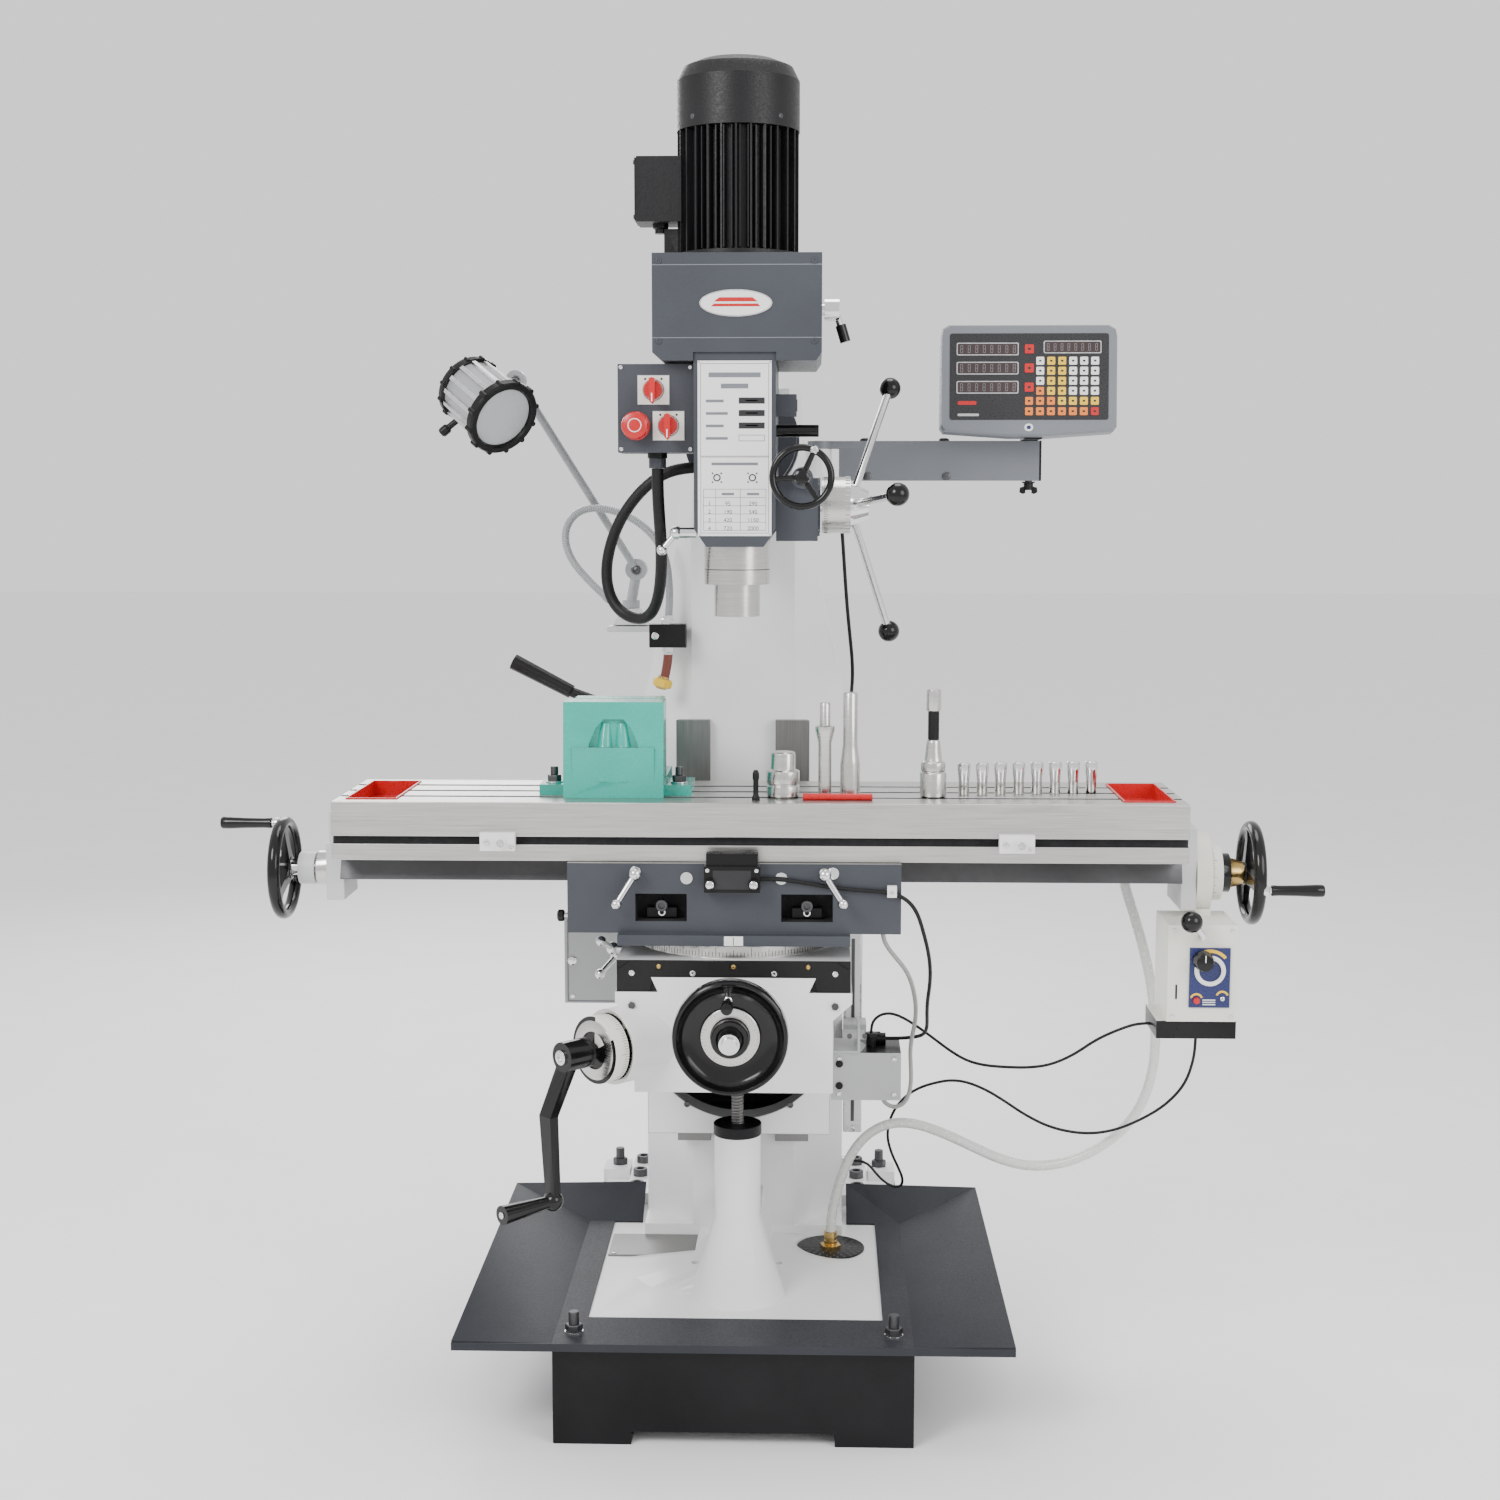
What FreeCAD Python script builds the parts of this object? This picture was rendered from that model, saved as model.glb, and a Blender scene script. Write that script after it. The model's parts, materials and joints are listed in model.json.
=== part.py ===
"""A knee-type vertical milling and drilling machine, built as separate pieces.

Millimetres, +X to the operator's right, +Y away from the operator, +Z up.  The sub-parts are
drawn with the spindle axis at X 0, Y 0 and the floor at Z 0; each one's Placement then moves
it back by spindle_y, so that the origin is the centre of the four anchor holes on the floor.
"""

import FreeCAD, Part
import math
import os
import re

V = FreeCAD.Vector
TO_X = FreeCAD.Rotation(V(0, 1, 0), 90)
TO_Y = FreeCAD.Rotation(V(1, 0, 0), -90)
AROUND = {"x": TO_X, "y": TO_Y, "z": FreeCAD.Rotation()}

SIZES = {
    # frame and running fits
    "spindle_y": -220, "fit": 0.05, "gap": 0.3,
    # black stand with four pads
    "stand_x": 270, "stand_front": -200, "stand_back": 640, "stand_high": 150, "stand_wall": 18,
    "pad_long": 118, "pad_high": 20, "anchor_x": 211, "anchor_front": -141, "anchor_back": 581,
    "anchor_r": 9,
    # white base casting with the screw pedestal
    "base_top": 160, "base_x": 262, "base_deep": 40, "pedestal_r": 36, "pedestal_top": 420,
    "pedestal_bore": 14, "hub_low_r": 74, "hub_high": 290, "flare_r": 185, "flare_y": 145,
    "flare_top": 80, "flare_high": 172, "foot_x": 215, "foot_front": 420, "foot_back": 625,
    "foot_high": 20, "lug_x": 244, "lug_y": 590, "jack_x": 240, "jack_front": -170,
    # chip tray
    "tray_thick": 3, "tray_front": -215, "tray_open_x": 225, "tray_open_front": -112,
    "tray_open_back": 310, "tray_fold_x": 268, "tray_wing_x": 418, "tray_back_x": 402,
    "tray_back_y": 372, "tray_rise": 50, "tray_lip": 12,
    # column
    "column_x": 168, "column_front": 262, "column_back": 560, "column_face": 85,
    "column_bend": 1080, "column_neck": 111, "column_neck_z": 1331, "column_top": 1585,
    "column_top_x": 95, "column_wall": 20, "way_out": 110, "way_in": 54, "way_front": 245,
    "way_slant": 5, "way_low": 332, "way_top": 1045, "pivot_z": 1500, "flange_r": 92,
    "flange_front": 200, "arm_y": 316,
    # elevating screw and its nut
    "nut_r": 37.5, "nut_top": 438, "nut_low": 396, "screw_r": 10, "screw_low": 190,
    # knee
    "knee_front": -165, "knee_x": 147, "knee_low": 532, "knee_step_y": 50, "knee_step_z": 404,
    "knee_back": 259, "knee_top": 684, "knee_flange_x": 175, "knee_flange": 34,
    "dovetail_low": 112, "dovetail_top": 122, "dovetail_z": 706, "knee_wall": 24,
    "knee_roof": 640, "chip_r": 131, "chip_z": 599,
    # knee crank, 45 degrees from the front
    "crank_z": 605, "crank_boss_r": 56, "crank_boss": 258, "crank_shaft_r": 11,
    "crank_dial_r": 50, "crank_dial_low": 261, "crank_dial_top": 286, "crank_hub_r": 22,
    "crank_hub_top": 346, "crank_reach": 212, "crank_dog": 30,
    "crank_grip": 92, "crank_grip_r": 14,
    # cross-feed handwheel and screw
    "cross_z": 646, "cross_r": 11, "cross_boss_r": 34, "cross_boss_y": -200, "dish_r": 83,
    "dish_back": -262, "dish_front": -292, "dish_lip": 14, "cross_dial_r": 42, "cross_nose": -330,
    # saddle and swivel carriage
    "saddle_x": 173, "saddle_y": 160, "saddle_z": 706.3, "saddle_top": 731, "scale_r": 152,
    "scale_top": 750.7, "step_z": 751, "step_top": 767, "step_x": 172, "carriage_x": 247,
    "carriage_y": 140, "carriage_back": 112, "carriage_top": 871.7, "window_in": 70, "window_out": 146,
    "window_low": 785, "window_high": 826, "window_deep": 40,
    # table
    "table_x": 35, "table_long": 1270, "table_y": 127, "table_low": 872, "table_top": 960,
    "tail_z": 834, "tail_y": 78, "tail_neck": 62, "slot_neck": 14, "slot_wide": 25,
    "slot_neck_deep": 14, "slot_deep": 28, "slot_pitch": 63, "groove_low": 897,
    "groove_high": 908, "groove_deep": 10, "tray_pocket": 78, "pocket_inset": 16,
    "pocket_y": 100, "pocket_deep": 24, "feed_z": 838, "feed_r": 14, "trough": 20,
    # end brackets, dials and handwheels of the table
    "left_plate": 28, "right_plate": 24, "wheel_r": 80, "rim_r": 8.5, "left_wheel": -703,
    "right_wheel": 787, "wheel_hub_r": 19, "grip_long": 86, "grip_r": 9.5,
    # power feed
    "drive_in": 643, "drive_out": 745, "drive_front": -120, "drive_back": -8, "drive_low": 634,
    "drive_high": 780, "drive_case_r": 64, "drive_case": 718, "drive_foot": 607,
    # vise
    "vise_left": -259, "vise_right": -108, "vise_front": -78, "vise_back": 116,
    "vise_base": 985, "vise_bed": 1036, "vise_top": 1104, "vise_screw_z": 1064,
    # head, quill and spindle
    "head_x": 60, "head_front": -95, "head_back": 150, "head_low": 1336, "head_top": 1618,
    "quill_r": 49.5, "quill_low": 1278, "quill_top": 1545, "nose_r": 34.5, "nose_low": 1229.5,
    "spindle_r": 25, "spline_r": 14, "spline_top": 1742, "taper_r": 16, "taper_deep": 80,
    "pinion_y": 62, "pinion_z": 1397, "pinion_teeth": 18, "gear_module": 2,
    # gearbox and motor
    "gearbox_left": -120, "gearbox_right": 127, "gearbox_front": -100, "gearbox_back": 175,
    "gearbox_top": 1760, "gearbox_wall": 12, "motor_y": 58, "motor_r": 93, "stator_r": 79,
    "motor_low": 1774, "motor_high": 1954, "fan_top": 2058, "gear_low": 1650, "gear_high": 1684,
    "drive_teeth": 40,
    # bevel gears of the knee
    "bevel_module": 2.5, "bevel_pinion": 15, "bevel_gear": 30, "bevel_face": 11,
}

doc = FreeCAD.newDocument("VerticalMill")
sheet = doc.addObject("Spreadsheet::Sheet", "sizes")
for row, (alias, value) in enumerate(SIZES.items(), start=1):
    sheet.set(f"A{row}", str(value))
    sheet.setAlias(f"A{row}", alias)
doc.recompute()


class Cells:
    """Reads a size from the sheet, for shapes that are computed rather than bound."""

    def __getattr__(self, alias):
        return float(sheet.get(alias))


S = Cells()
kept = []
cord_radii = {}


# ---------------------------------------------------------------- helpers: bound primitives
def bind(obj, prop, size):
    """Ties a property to a size given in terms of the sheet's aliases."""
    text = re.sub(r"[a-z_]{2,}", lambda m: "sizes." + m.group(0) if m.group(0) in SIZES else m.group(0),
                  str(size))
    obj.setExpression(prop, text)


def put(obj, place):
    for letter, size in zip("xyz", place):
        bind(obj, "Placement.Base." + letter, size)
    return obj


def box(xs, ys, zs):
    """A block from the low to the high end of each span."""
    obj = doc.addObject("Part::Box", "Block")
    for prop, (low, high) in zip(("Length", "Width", "Height"), (xs, ys, zs)):
        bind(obj, prop, f"({high}) - ({low})")
    return put(obj, (xs[0], ys[0], zs[0]))


def where(axis, across, along):
    """The point with the given coordinates across and along an axis."""
    a, b = across
    return {"x": (along, a, b), "y": (a, along, b), "z": (a, b, along)}[axis]


def rod(axis, across, span, radius):
    """A cylinder along an axis, from the low to the high end of the span."""
    obj = doc.addObject("Part::Cylinder", "Rod")
    obj.Placement.Rotation = AROUND[axis]
    bind(obj, "Radius", radius)
    bind(obj, "Height", f"({span[1]}) - ({span[0]})")
    return put(obj, where(axis, across, span[0]))


def cone(axis, across, span, radii):
    obj = doc.addObject("Part::Cone", "Cone")
    obj.Placement.Rotation = AROUND[axis]
    bind(obj, "Radius1", radii[0])
    bind(obj, "Radius2", radii[1])
    bind(obj, "Height", f"({span[1]}) - ({span[0]})")
    return put(obj, where(axis, across, span[0]))


def ring(axis, centre, radius, wire):
    obj = doc.addObject("Part::Torus", "Ring")
    obj.Placement.Rotation = AROUND[axis]
    bind(obj, "Radius1", radius)
    bind(obj, "Radius2", wire)
    return put(obj, centre)


def ball(centre, radius):
    obj = doc.addObject("Part::Sphere", "Ball")
    bind(obj, "Radius", radius)
    return put(obj, centre)


def fuse(*shapes):
    obj = doc.addObject("Part::MultiFuse", "Fusion")
    obj.Shapes = list(shapes)
    obj.Refine = True
    return obj


def cut(base, *tools):
    obj = doc.addObject("Part::Cut", "Cut")
    obj.Base = base
    obj.Tool = tools[0] if len(tools) == 1 else fuse(*tools)
    obj.Refine = True
    return obj


def group(*shapes):
    """Several separate solids in one node."""
    obj = doc.addObject("Part::Compound", "Group")
    obj.Links = list(shapes)
    return obj


# ---------------------------------------------------------------- helpers: computed shapes
def feature(shape):
    """One computed solid."""
    if len(shape.Solids) != 1:
        raise ValueError(f"{len(shape.Solids)} solids where one was meant")
    obj = doc.addObject("Part::Feature", "Shape")
    obj.Shape = shape.Solids[0]
    return obj


def outline(points):
    return Part.makePolygon([*points, points[0]])


def prism(axis, points, span):
    """A straight block along an axis; the outline's points are in the other two directions."""
    low, high = span
    wire = outline([V(*where(axis, p, low)) for p in points])
    return feature(Part.Face(wire).extrude(V(*where(axis, (0, 0), high - low))))


def loft(sections):
    """A solid through flat outlines of the same number of corners, one above another."""
    wires = [outline([V(x, y, z) for x, y in points]) for z, points in sections]
    return feature(Part.makeLoft(wires, True, True))


def rotated(obj, axis, degrees, centre=(0, 0, 0)):
    """Turns a computed shape about a point."""
    shape = obj.Shape.copy()
    shape.rotate(V(*centre), axis, degrees)
    obj.Shape = shape
    return obj


def straight(start, end, radius, end_radius=None):
    """A round bar, or a taper, from one point to another."""
    a, b = V(*start), V(*end)
    if end_radius is None:
        return feature(Part.makeCylinder(radius, (b - a).Length, a, b - a))
    return feature(Part.makeCone(radius, end_radius, (b - a).Length, a, b - a))


def path(points):
    """Straight runs joined by tangent arcs, each as large as its two runs allow."""
    corners = [V(*p) for p in points]
    edges, radii, start = [], [], corners[0]
    for before, corner, after in zip(corners, corners[1:], corners[2:]):
        back, on = before - corner, after - corner
        half = (math.pi - back.getAngle(on)) / 2
        reach = 0.45 * min(back.Length, on.Length)
        back.normalize()
        on.normalize()
        radius = reach / math.tan(half)
        middle = (back + on).normalize() * (radius / math.cos(half) - radius)
        edges.append(Part.LineSegment(start, corner + back * reach).toShape())
        edges.append(Part.Arc(corner + back * reach, corner + middle, corner + on * reach).toShape())
        start = corner + on * reach
        radii.append(round(radius, 1))
    edges.append(Part.LineSegment(start, corners[-1]).toShape())
    return Part.Wire(edges), radii


def turned(x, y, profile):
    """A solid of revolution standing on the table, from (radius, height over the table) pairs."""
    spots = [(0, profile[0][1])] + profile + [(0, profile[-1][1])]
    corners = [V(radius, 0, height) for radius, height in spots]
    solid = Part.Face(Part.makePolygon(corners + corners[:1])).revolve(V(), V(0, 0, 1), 360)
    solid.translate(V(x, y, S.table_top))
    return feature(solid if solid.Volume > 0 else solid.reversed())


def tube(points, radius, name=None, bore=0):
    """A round tube along a path; its volume has to be its section times its length."""
    wire, radii = path(points)
    start, ahead = V(*points[0]), V(*points[1]) - V(*points[0])
    solid = wire.makePipeShell([Part.Wire(Part.makeCircle(radius, start, ahead))], True, False)
    if bore:
        inner = wire.makePipeShell([Part.Wire(Part.makeCircle(bore, start, ahead))], True, False)
        solid = solid.cut(inner)
    expected = math.pi * (radius**2 - bore**2) * wire.Length
    if abs(solid.Volume / expected - 1) > 0.01:
        raise ValueError(f"tube volume {solid.Volume:.0f}, expected {expected:.0f}")
    if name:
        cord_radii[name] = (round(wire.Length), radii)
    return feature(solid)


def toothed(axis, centre, span, teeth, module, phase):
    """A spur gear blank and its straight-sided teeth; phase is the first tooth's angle."""
    pitch_r = module * teeth / 2
    root, tip = pitch_r - 1.25 * module, pitch_r + 0.9 * module
    half_low, half_tip = 0.27 * math.pi * module, 0.1 * math.pi * module
    low, high = span
    along = V(*where(axis, (0, 0), 1))
    solid = Part.makeCylinder(root, high - low, V(*where(axis, centre, low)), along)
    across = [V(*where(axis, (1, 0), 0)), V(*where(axis, (0, 1), 0))]
    middle = V(*where(axis, centre, low))
    for number in range(teeth):
        angle = phase + 2 * math.pi * number / teeth
        out = across[0] * math.cos(angle) + across[1] * math.sin(angle)
        side = across[1] * math.cos(angle) - across[0] * math.sin(angle)
        corners = [middle + out * (root - 1) - side * half_low, middle + out * tip - side * half_tip,
                   middle + out * tip + side * half_tip, middle + out * (root - 1) + side * half_low]
        solid = solid.fuse(Part.Face(outline(corners)).extrude(along * (high - low)))
    return feature(solid.removeSplitter())


def bevel(apex, axis, towards, teeth, mate_teeth, hub_deep):
    """A straight bevel gear whose cone's point is at apex; towards is where its first gap lies."""
    module, face = S.bevel_module, S.bevel_face
    pitch_r, reach = module * teeth / 2, module * mate_teeth / 2
    slant = math.hypot(pitch_r, reach)
    shrink = 1 - face / slant
    axis, apex = V(*axis).normalize(), V(*apex)
    side = V(*towards)
    side = (side - axis * side.dot(axis)).normalize()
    tip, root = 0.8 * module, 1.15 * module
    across = V(pitch_r / slant, reach / slant)
    blank_r, blank_at = pitch_r - root * across.y, reach + root * across.x
    solid = Part.makeCone(blank_r * shrink, blank_r, blank_at * (1 - shrink),
                          apex + axis * blank_at * shrink, axis)
    solid = solid.fuse(Part.makeCylinder(blank_r * 0.8, hub_deep, apex + axis * (blank_at - 0.5), axis))
    solid.rotate(apex, axis, 90 / teeth)
    for number in range(teeth):
        turn = FreeCAD.Rotation(axis, 360 * (number + 0.5) / teeth)
        out = turn.multVec(side)
        flank = axis.cross(out)
        normal = out * across.y - axis * across.x
        pitch_point = axis * reach + out * pitch_r
        low = pitch_point - normal * (root + 0.4)
        high = pitch_point + normal * tip
        wide, thin = 0.25 * math.pi * module, 0.09 * math.pi * module
        big = [low - flank * wide, high - flank * thin, high + flank * thin, low + flank * wide]
        rims = [outline([apex + p * scale for p in big]) for scale in (shrink + 0.02, 0.985)]
        solid = solid.fuse(Part.makeLoft(rims, True, True))
    return feature(solid.removeSplitter())


def keep(obj, node):
    """Names a finished sub-part and moves it into the machine's frame."""
    obj.Label = node
    bind(obj, "Placement.Base.y", "spindle_y")
    kept.append(obj)


# ---------------------------------------------------------------- stand, base, tray, column
def base_plinth():
    x, front, back = "stand_x", "stand_front", "stand_back"
    outer = box(("-" + x, x), (front, back), (0, "stand_high"))
    inner = box(("stand_wall - stand_x", "stand_x - stand_wall"),
                ("stand_front + stand_wall", "stand_back - stand_wall"), ("pad_high", "stand_high"))
    along = box(("pad_long - stand_x", "stand_x - pad_long"), (front, back), (0, "pad_high"))
    across = box(("-" + x, x), ("stand_front + pad_long", "stand_back - pad_long"), (0, "pad_high"))
    holes = [rod("z", (sx + "anchor_x", y), (0, "pad_high"), "anchor_r")
             for sx in ("-", "") for y in ("anchor_front", "anchor_back")]
    keep(cut(outer, inner, along, across, *holes), "base_plinth")


def base_casting():
    inset = "stand_wall + 1"
    plate = box(("-base_x", "base_x"), ("stand_front + 8", "stand_back - 8"), ("stand_high", "base_top"))
    body = box((f"{inset} - stand_x", f"stand_x - ({inset})"),
               (f"stand_front + {inset}", f"stand_back - ({inset})"),
               ("base_top - base_deep", "stand_high"))
    flare = cut(cone("z", (0, "flare_y"), ("base_top", "flare_high"), ("flare_r", "flare_top")),
                box((-200, 200), ("column_front", 400), ("base_top", 260)))
    low = cone("z", (0, 0), ("base_top", "hub_high"), ("hub_low_r", "pedestal_r"))
    pedestal = rod("z", (0, 0), ("hub_high", "pedestal_top"), "pedestal_r")
    web = prism("y", [(-50, S.base_top), (50, S.base_top), (34, 250), (-34, 250)], (0, S.column_front))
    foot = box(("-foot_x", "foot_x"), ("foot_front", "foot_back"), ("base_top", "base_top + foot_high"))
    pad = box(("-column_x", "column_x"), ("column_front", "column_back"),
              ("base_top", "base_top + foot_high"))
    lugs = [box((f"{s}lug_x - 24", f"{s}lug_x + 24"), ("lug_y - 30", "lug_y + 30"),
                ("base_top - 10", "base_top + 18")) for s in ("-", "")]
    bore = rod("z", (0, 0), ("base_top - base_deep", "pedestal_top"), "pedestal_bore")
    jacks = [rod("z", (sx + "jack_x", y), ("base_top - base_deep", 200), 8.3)
             for sx in ("-", "") for y in ("jack_front", "lug_y")]
    sump = box((-218, -80), (161, 259), ("base_top - base_deep", "base_top + 60"))
    sump_seat = box((-222, -76), (157, 263), ("base_top", "base_top + 60"))
    drain = rod("z", (148, 207), ("base_top - base_deep", "base_top + 60"), 51)
    drain_seat = rod("z", (148, 207), ("base_top", "base_top + 60"), 58)
    drips = [rod("z", (x, 104), ("base_top - base_deep", "base_top + 90"), 7) for x in (-72, 62)]
    whole = fuse(plate, body, flare, low, pedestal, web, foot, pad, *lugs)
    keep(cut(whole, bore, sump, sump_seat, drain, drain_seat, *jacks, *drips), "base_casting")


def chip_tray():
    """Bent sheet: a flat frame, two wings that rise towards the back, and two rear flaps."""
    z, top, lip = S.base_top, S.base_top + S.tray_rise, S.tray_front
    fold, wing, back = S.tray_fold_x, S.tray_wing_x, S.tray_open_back
    open_x, open_front = S.tray_open_x, S.tray_open_front
    solid = Part.makeBox(2 * fold, open_front - lip, S.tray_thick, V(-fold, lip, z))
    apron = V(-wing, lip - S.tray_thick, z - S.tray_lip + S.tray_thick)
    solid = solid.fuse(Part.makeBox(2 * wing, S.tray_thick, S.tray_lip, apron))
    for side in (-1, 1):
        strip = Part.makeBox(fold - open_x, back - open_front + 12, S.tray_thick,
                             V(min(side * open_x, side * fold), open_front, z))
        hinge_front, hinge_back = V(side * fold, lip, z), V(side * fold, back + 12, z)
        bend = V(side * fold, back - 130, z)
        tip_front, tip_back = V(side * wing, lip, z + 2), V(side * S.tray_back_x, S.tray_back_y, top)
        flap_low = V(side * (S.column_x + 8), back + 12, z)
        flap_top = V(side * (S.column_x + 8), S.tray_back_y + 26, top - 4)
        facets = [[hinge_front, tip_front, tip_back], [hinge_front, tip_back, bend],
                  [bend, tip_back, hinge_back], [hinge_back, tip_back, flap_top],
                  [hinge_back, flap_top, flap_low]]
        solid = solid.fuse(strip)
        for facet in facets:
            face = Part.Face(outline(facet))
            solid = solid.fuse(face.extrude(V(0, 0, S.tray_thick)))
    for side in (-1, 1):
        hole = Part.makeCylinder(8.3, 10, V(side * S.jack_x, S.jack_front, z - 3))
        solid = solid.cut(hole)
    keep(feature(solid.removeSplitter()), "chip_tray")


def column_section(z, x, flat, shrink=0.0):
    """The column's outline at a height: a flat front, two chamfers, and square behind."""
    front, back = S.column_front, S.column_back
    deep = 0.92 * (x - flat) + 2
    return z, [(-flat + shrink, front + shrink), (flat - shrink, front + shrink),
               (x - shrink, front + deep), (x - shrink, back - shrink),
               (shrink - x, back - shrink), (shrink - x, front + deep)]


def column_taper():
    """The part of the column that narrows, from the ways' upper end to the neck."""
    return loft([column_section(S.column_bend, S.column_x, S.column_face),
                 column_section(S.column_neck_z, S.column_neck, S.column_face)])


def column():
    front, face = S.column_front, S.column_face
    sloped = S.column_neck_z - S.column_bend
    section = column_section
    low = S.base_top + S.foot_high
    shell = loft([section(low, S.column_x, face), section(S.column_bend, S.column_x, face)])
    taper = column_taper()
    crown = loft([section(S.column_neck_z, S.column_neck, face),
                  section(S.column_top, S.column_top_x, face - 10)])
    wall = S.column_wall
    core = loft([section(low, S.column_x, face, wall), section(S.column_bend, S.column_x, face, wall)])
    core_top = loft([section(S.column_bend, S.column_x, face, wall),
                     section(S.column_bend + 0.8 * sloped, S.column_neck + 12, face, wall)])
    ways = [prism("z", [(s * S.way_in, front + 1), (s * S.way_in, S.way_front),
                        (s * S.way_out, S.way_front), (s * (S.way_out - S.way_slant), front + 1)],
                  (S.way_low, S.way_top)) for s in (-1, 1)]
    flange = rod("y", (0, "pivot_z"), ("flange_front", "column_front + 30"), "flange_r")
    cap = rod("z", (0, "(column_front + column_back) / 2 + 6"), ("column_top - 30", "column_top + 14"), 60)
    bracket = box(("column_top_x - 25", "column_top_x + 26"), (286, 344), (1425, 1489))
    eye = rod("z", ("column_top_x + 30", "arm_y"), (1425, 1489), 20)
    hinge_hole = rod("z", ("column_top_x + 30", "arm_y"), (1400, 1500), "9 + fit")
    lamp_pad = box(("-column_x + 4", "-column_x + 60"), (372, 420), (1150, 1182))
    whole = fuse(shell, taper, crown, *ways, flange, cap, bracket, eye, lamp_pad)
    keep(cut(whole, core, core_top, hinge_hole), "column")


def elevating_nut():
    flange = rod("z", (0, 0), ("pedestal_top", "nut_top"), "nut_r")
    shank = rod("z", (0, 0), ("nut_low", "pedestal_top"), "pedestal_bore")
    bore = rod("z", (0, 0), ("nut_low - 1", "nut_top + 1"), "screw_r + fit")
    keep(cut(fuse(flange, shank), bore), "elevating_nut")


def base_fittings():
    """Strainer, sump cover, the stand's four jack bolts and the column's six foot bolts."""
    strainer = fuse(rod("z", (148, 207), ("base_top", "base_top + 3"), 57),
                    rod("z", (148, 207), ("base_top - 30", "base_top"), 50),
                    rod("z", (148, 205), ("base_top + 3", "base_top + 30"), 11))
    cover = box((-221, -77), (158, 262), ("base_top", "base_top + 2"))
    jacks = []
    for side in ("-", ""):
        for y, seat in (("jack_front", "base_top + tray_thick"), ("lug_y", "base_top + 18")):
            spot = (side + "jack_x", y)
            jacks.append(fuse(rod("z", spot, ("base_top - base_deep + 2", f"{seat} + 32"), 8),
                              rod("z", spot, (seat, f"{seat} + 13"), 14)))
    bolts = []
    for side in (-1, 1):
        for y in (446, 522, 600):
            seat = "base_top + foot_high"
            bolts.append(rod("z", (side * 197, y), (seat, f"{seat} + 13"), 13))
    pipe = rod("z", (148, 205), ("base_top - 31", "base_top + 31"), 6)
    keep(group(cut(strainer, pipe), cover, *jacks, *bolts), "base_fittings")


def column_electrics():
    """Cabinet on the column's left side; measuring scale, gland and cable inlet on its right."""
    case = box((-314, "-column_x - gap"), (370, 556), (537, 690))
    inside = box((-310, "-column_x - 4"), (376, 550), (541, 686))
    bar = box(("column_x + 2", "column_x + 34"), (352, 384), (316, 677))
    gland = rod("x", (400, 250), ("column_x", "column_x + 14"), 8)
    inlet = box(("column_x", "column_x + 20"), (420, 444), (1050, 1074))
    keep(group(cut(case, inside), bar, gland, inlet), "column_electrics")


# ---------------------------------------------------------------- knee
def crank_point(along, side=0.0, up=0.0):
    """A point in the knee crank's own directions: out along its shaft, across it and up."""
    c = math.sqrt(0.5)
    return (-c * along - c * side, -c * along + c * side, S.crank_z + up)


def knee():
    x, wall = "knee_x", "knee_wall"
    body = box(("-" + x, x), ("knee_front", "knee_back"), ("knee_low", "knee_top"))
    step = box(("-knee_x + 3", "knee_x - 3"), ("knee_step_y", "knee_back"), ("knee_step_z", "knee_low"))
    flange = prism("y", [(-S.knee_flange_x, S.knee_top), (S.knee_flange_x, S.knee_top),
                         (S.knee_flange_x, S.knee_top - S.knee_flange / 2),
                         (S.knee_x, S.knee_top - S.knee_flange - 8),
                         (-S.knee_x, S.knee_top - S.knee_flange - 8),
                         (-S.knee_flange_x, S.knee_top - S.knee_flange / 2)],
                   (S.knee_front, S.knee_back))
    ways = prism("y", [(-S.dovetail_low, S.knee_top), (S.dovetail_low, S.knee_top),
                       (S.dovetail_top, S.dovetail_z), (-S.dovetail_top, S.dovetail_z)],
                 (S.knee_front, S.knee_back))
    boss = straight(crank_point(140), crank_point(S.crank_boss), S.crank_boss_r)
    nose = rod("y", (0, "cross_z"), ("cross_boss_y", "knee_front"), "cross_boss_r")
    clear, behind = (f"{wall} - knee_x", f"knee_x - {wall}"), (f"knee_front + {wall}", "knee_back - 34")
    inside = box(clear, behind, ("knee_low - 1", "knee_roof - 8"))
    step_inside = box(clear, ("knee_step_y + 16", "knee_back - 34"), ("knee_step_z - 1", "knee_low"))
    cross_room = box((-32, 32), behind, ("knee_roof - 9", "knee_roof + 24"))
    nut_slot = box((-24, 24), (-126, 172), ("knee_roof + 20", "dovetail_z + 1"))
    below = box((f"-{x} - 5", f"{x} + 5"), ("knee_front - 1", "knee_step_y"), ("knee_step_z - 1", "knee_low"))
    chip = rod("y", (0, "chip_z"), ("knee_step_y - 1", "knee_step_y + 40"), "chip_r")
    chip_floor = box((-140, 140), ("knee_step_y - 2", "knee_step_y + 41"), ("knee_low - 6", 760))
    way_slot = prism("z", [(-S.way_out - S.gap, S.way_front - S.gap),
                           (S.way_out + S.gap, S.way_front - S.gap),
                           (S.way_out - S.way_slant + S.gap, S.column_front + 1),
                           (S.way_slant - S.way_out - S.gap, S.column_front + 1)],
                     (S.knee_step_z - 1, S.dovetail_z + 1))
    shaft_hole = straight(crank_point(20), crank_point(300), S.crank_shaft_r + S.fit)
    cross_hole = rod("y", (0, "cross_z"), ("cross_boss_y - 1", "knee_front + 40"), "cross_r + fit")
    inner_boss = straight(crank_point(62), crank_point(190), 20)
    whole = cut(fuse(body, step, flange, ways, boss, nose), below, cut(chip, chip_floor), way_slot)
    hollow = cut(whole, inside, step_inside, cross_room, nut_slot)
    keep(cut(fuse(hollow, inner_boss), shaft_hole, cross_hole), "knee")


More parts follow.
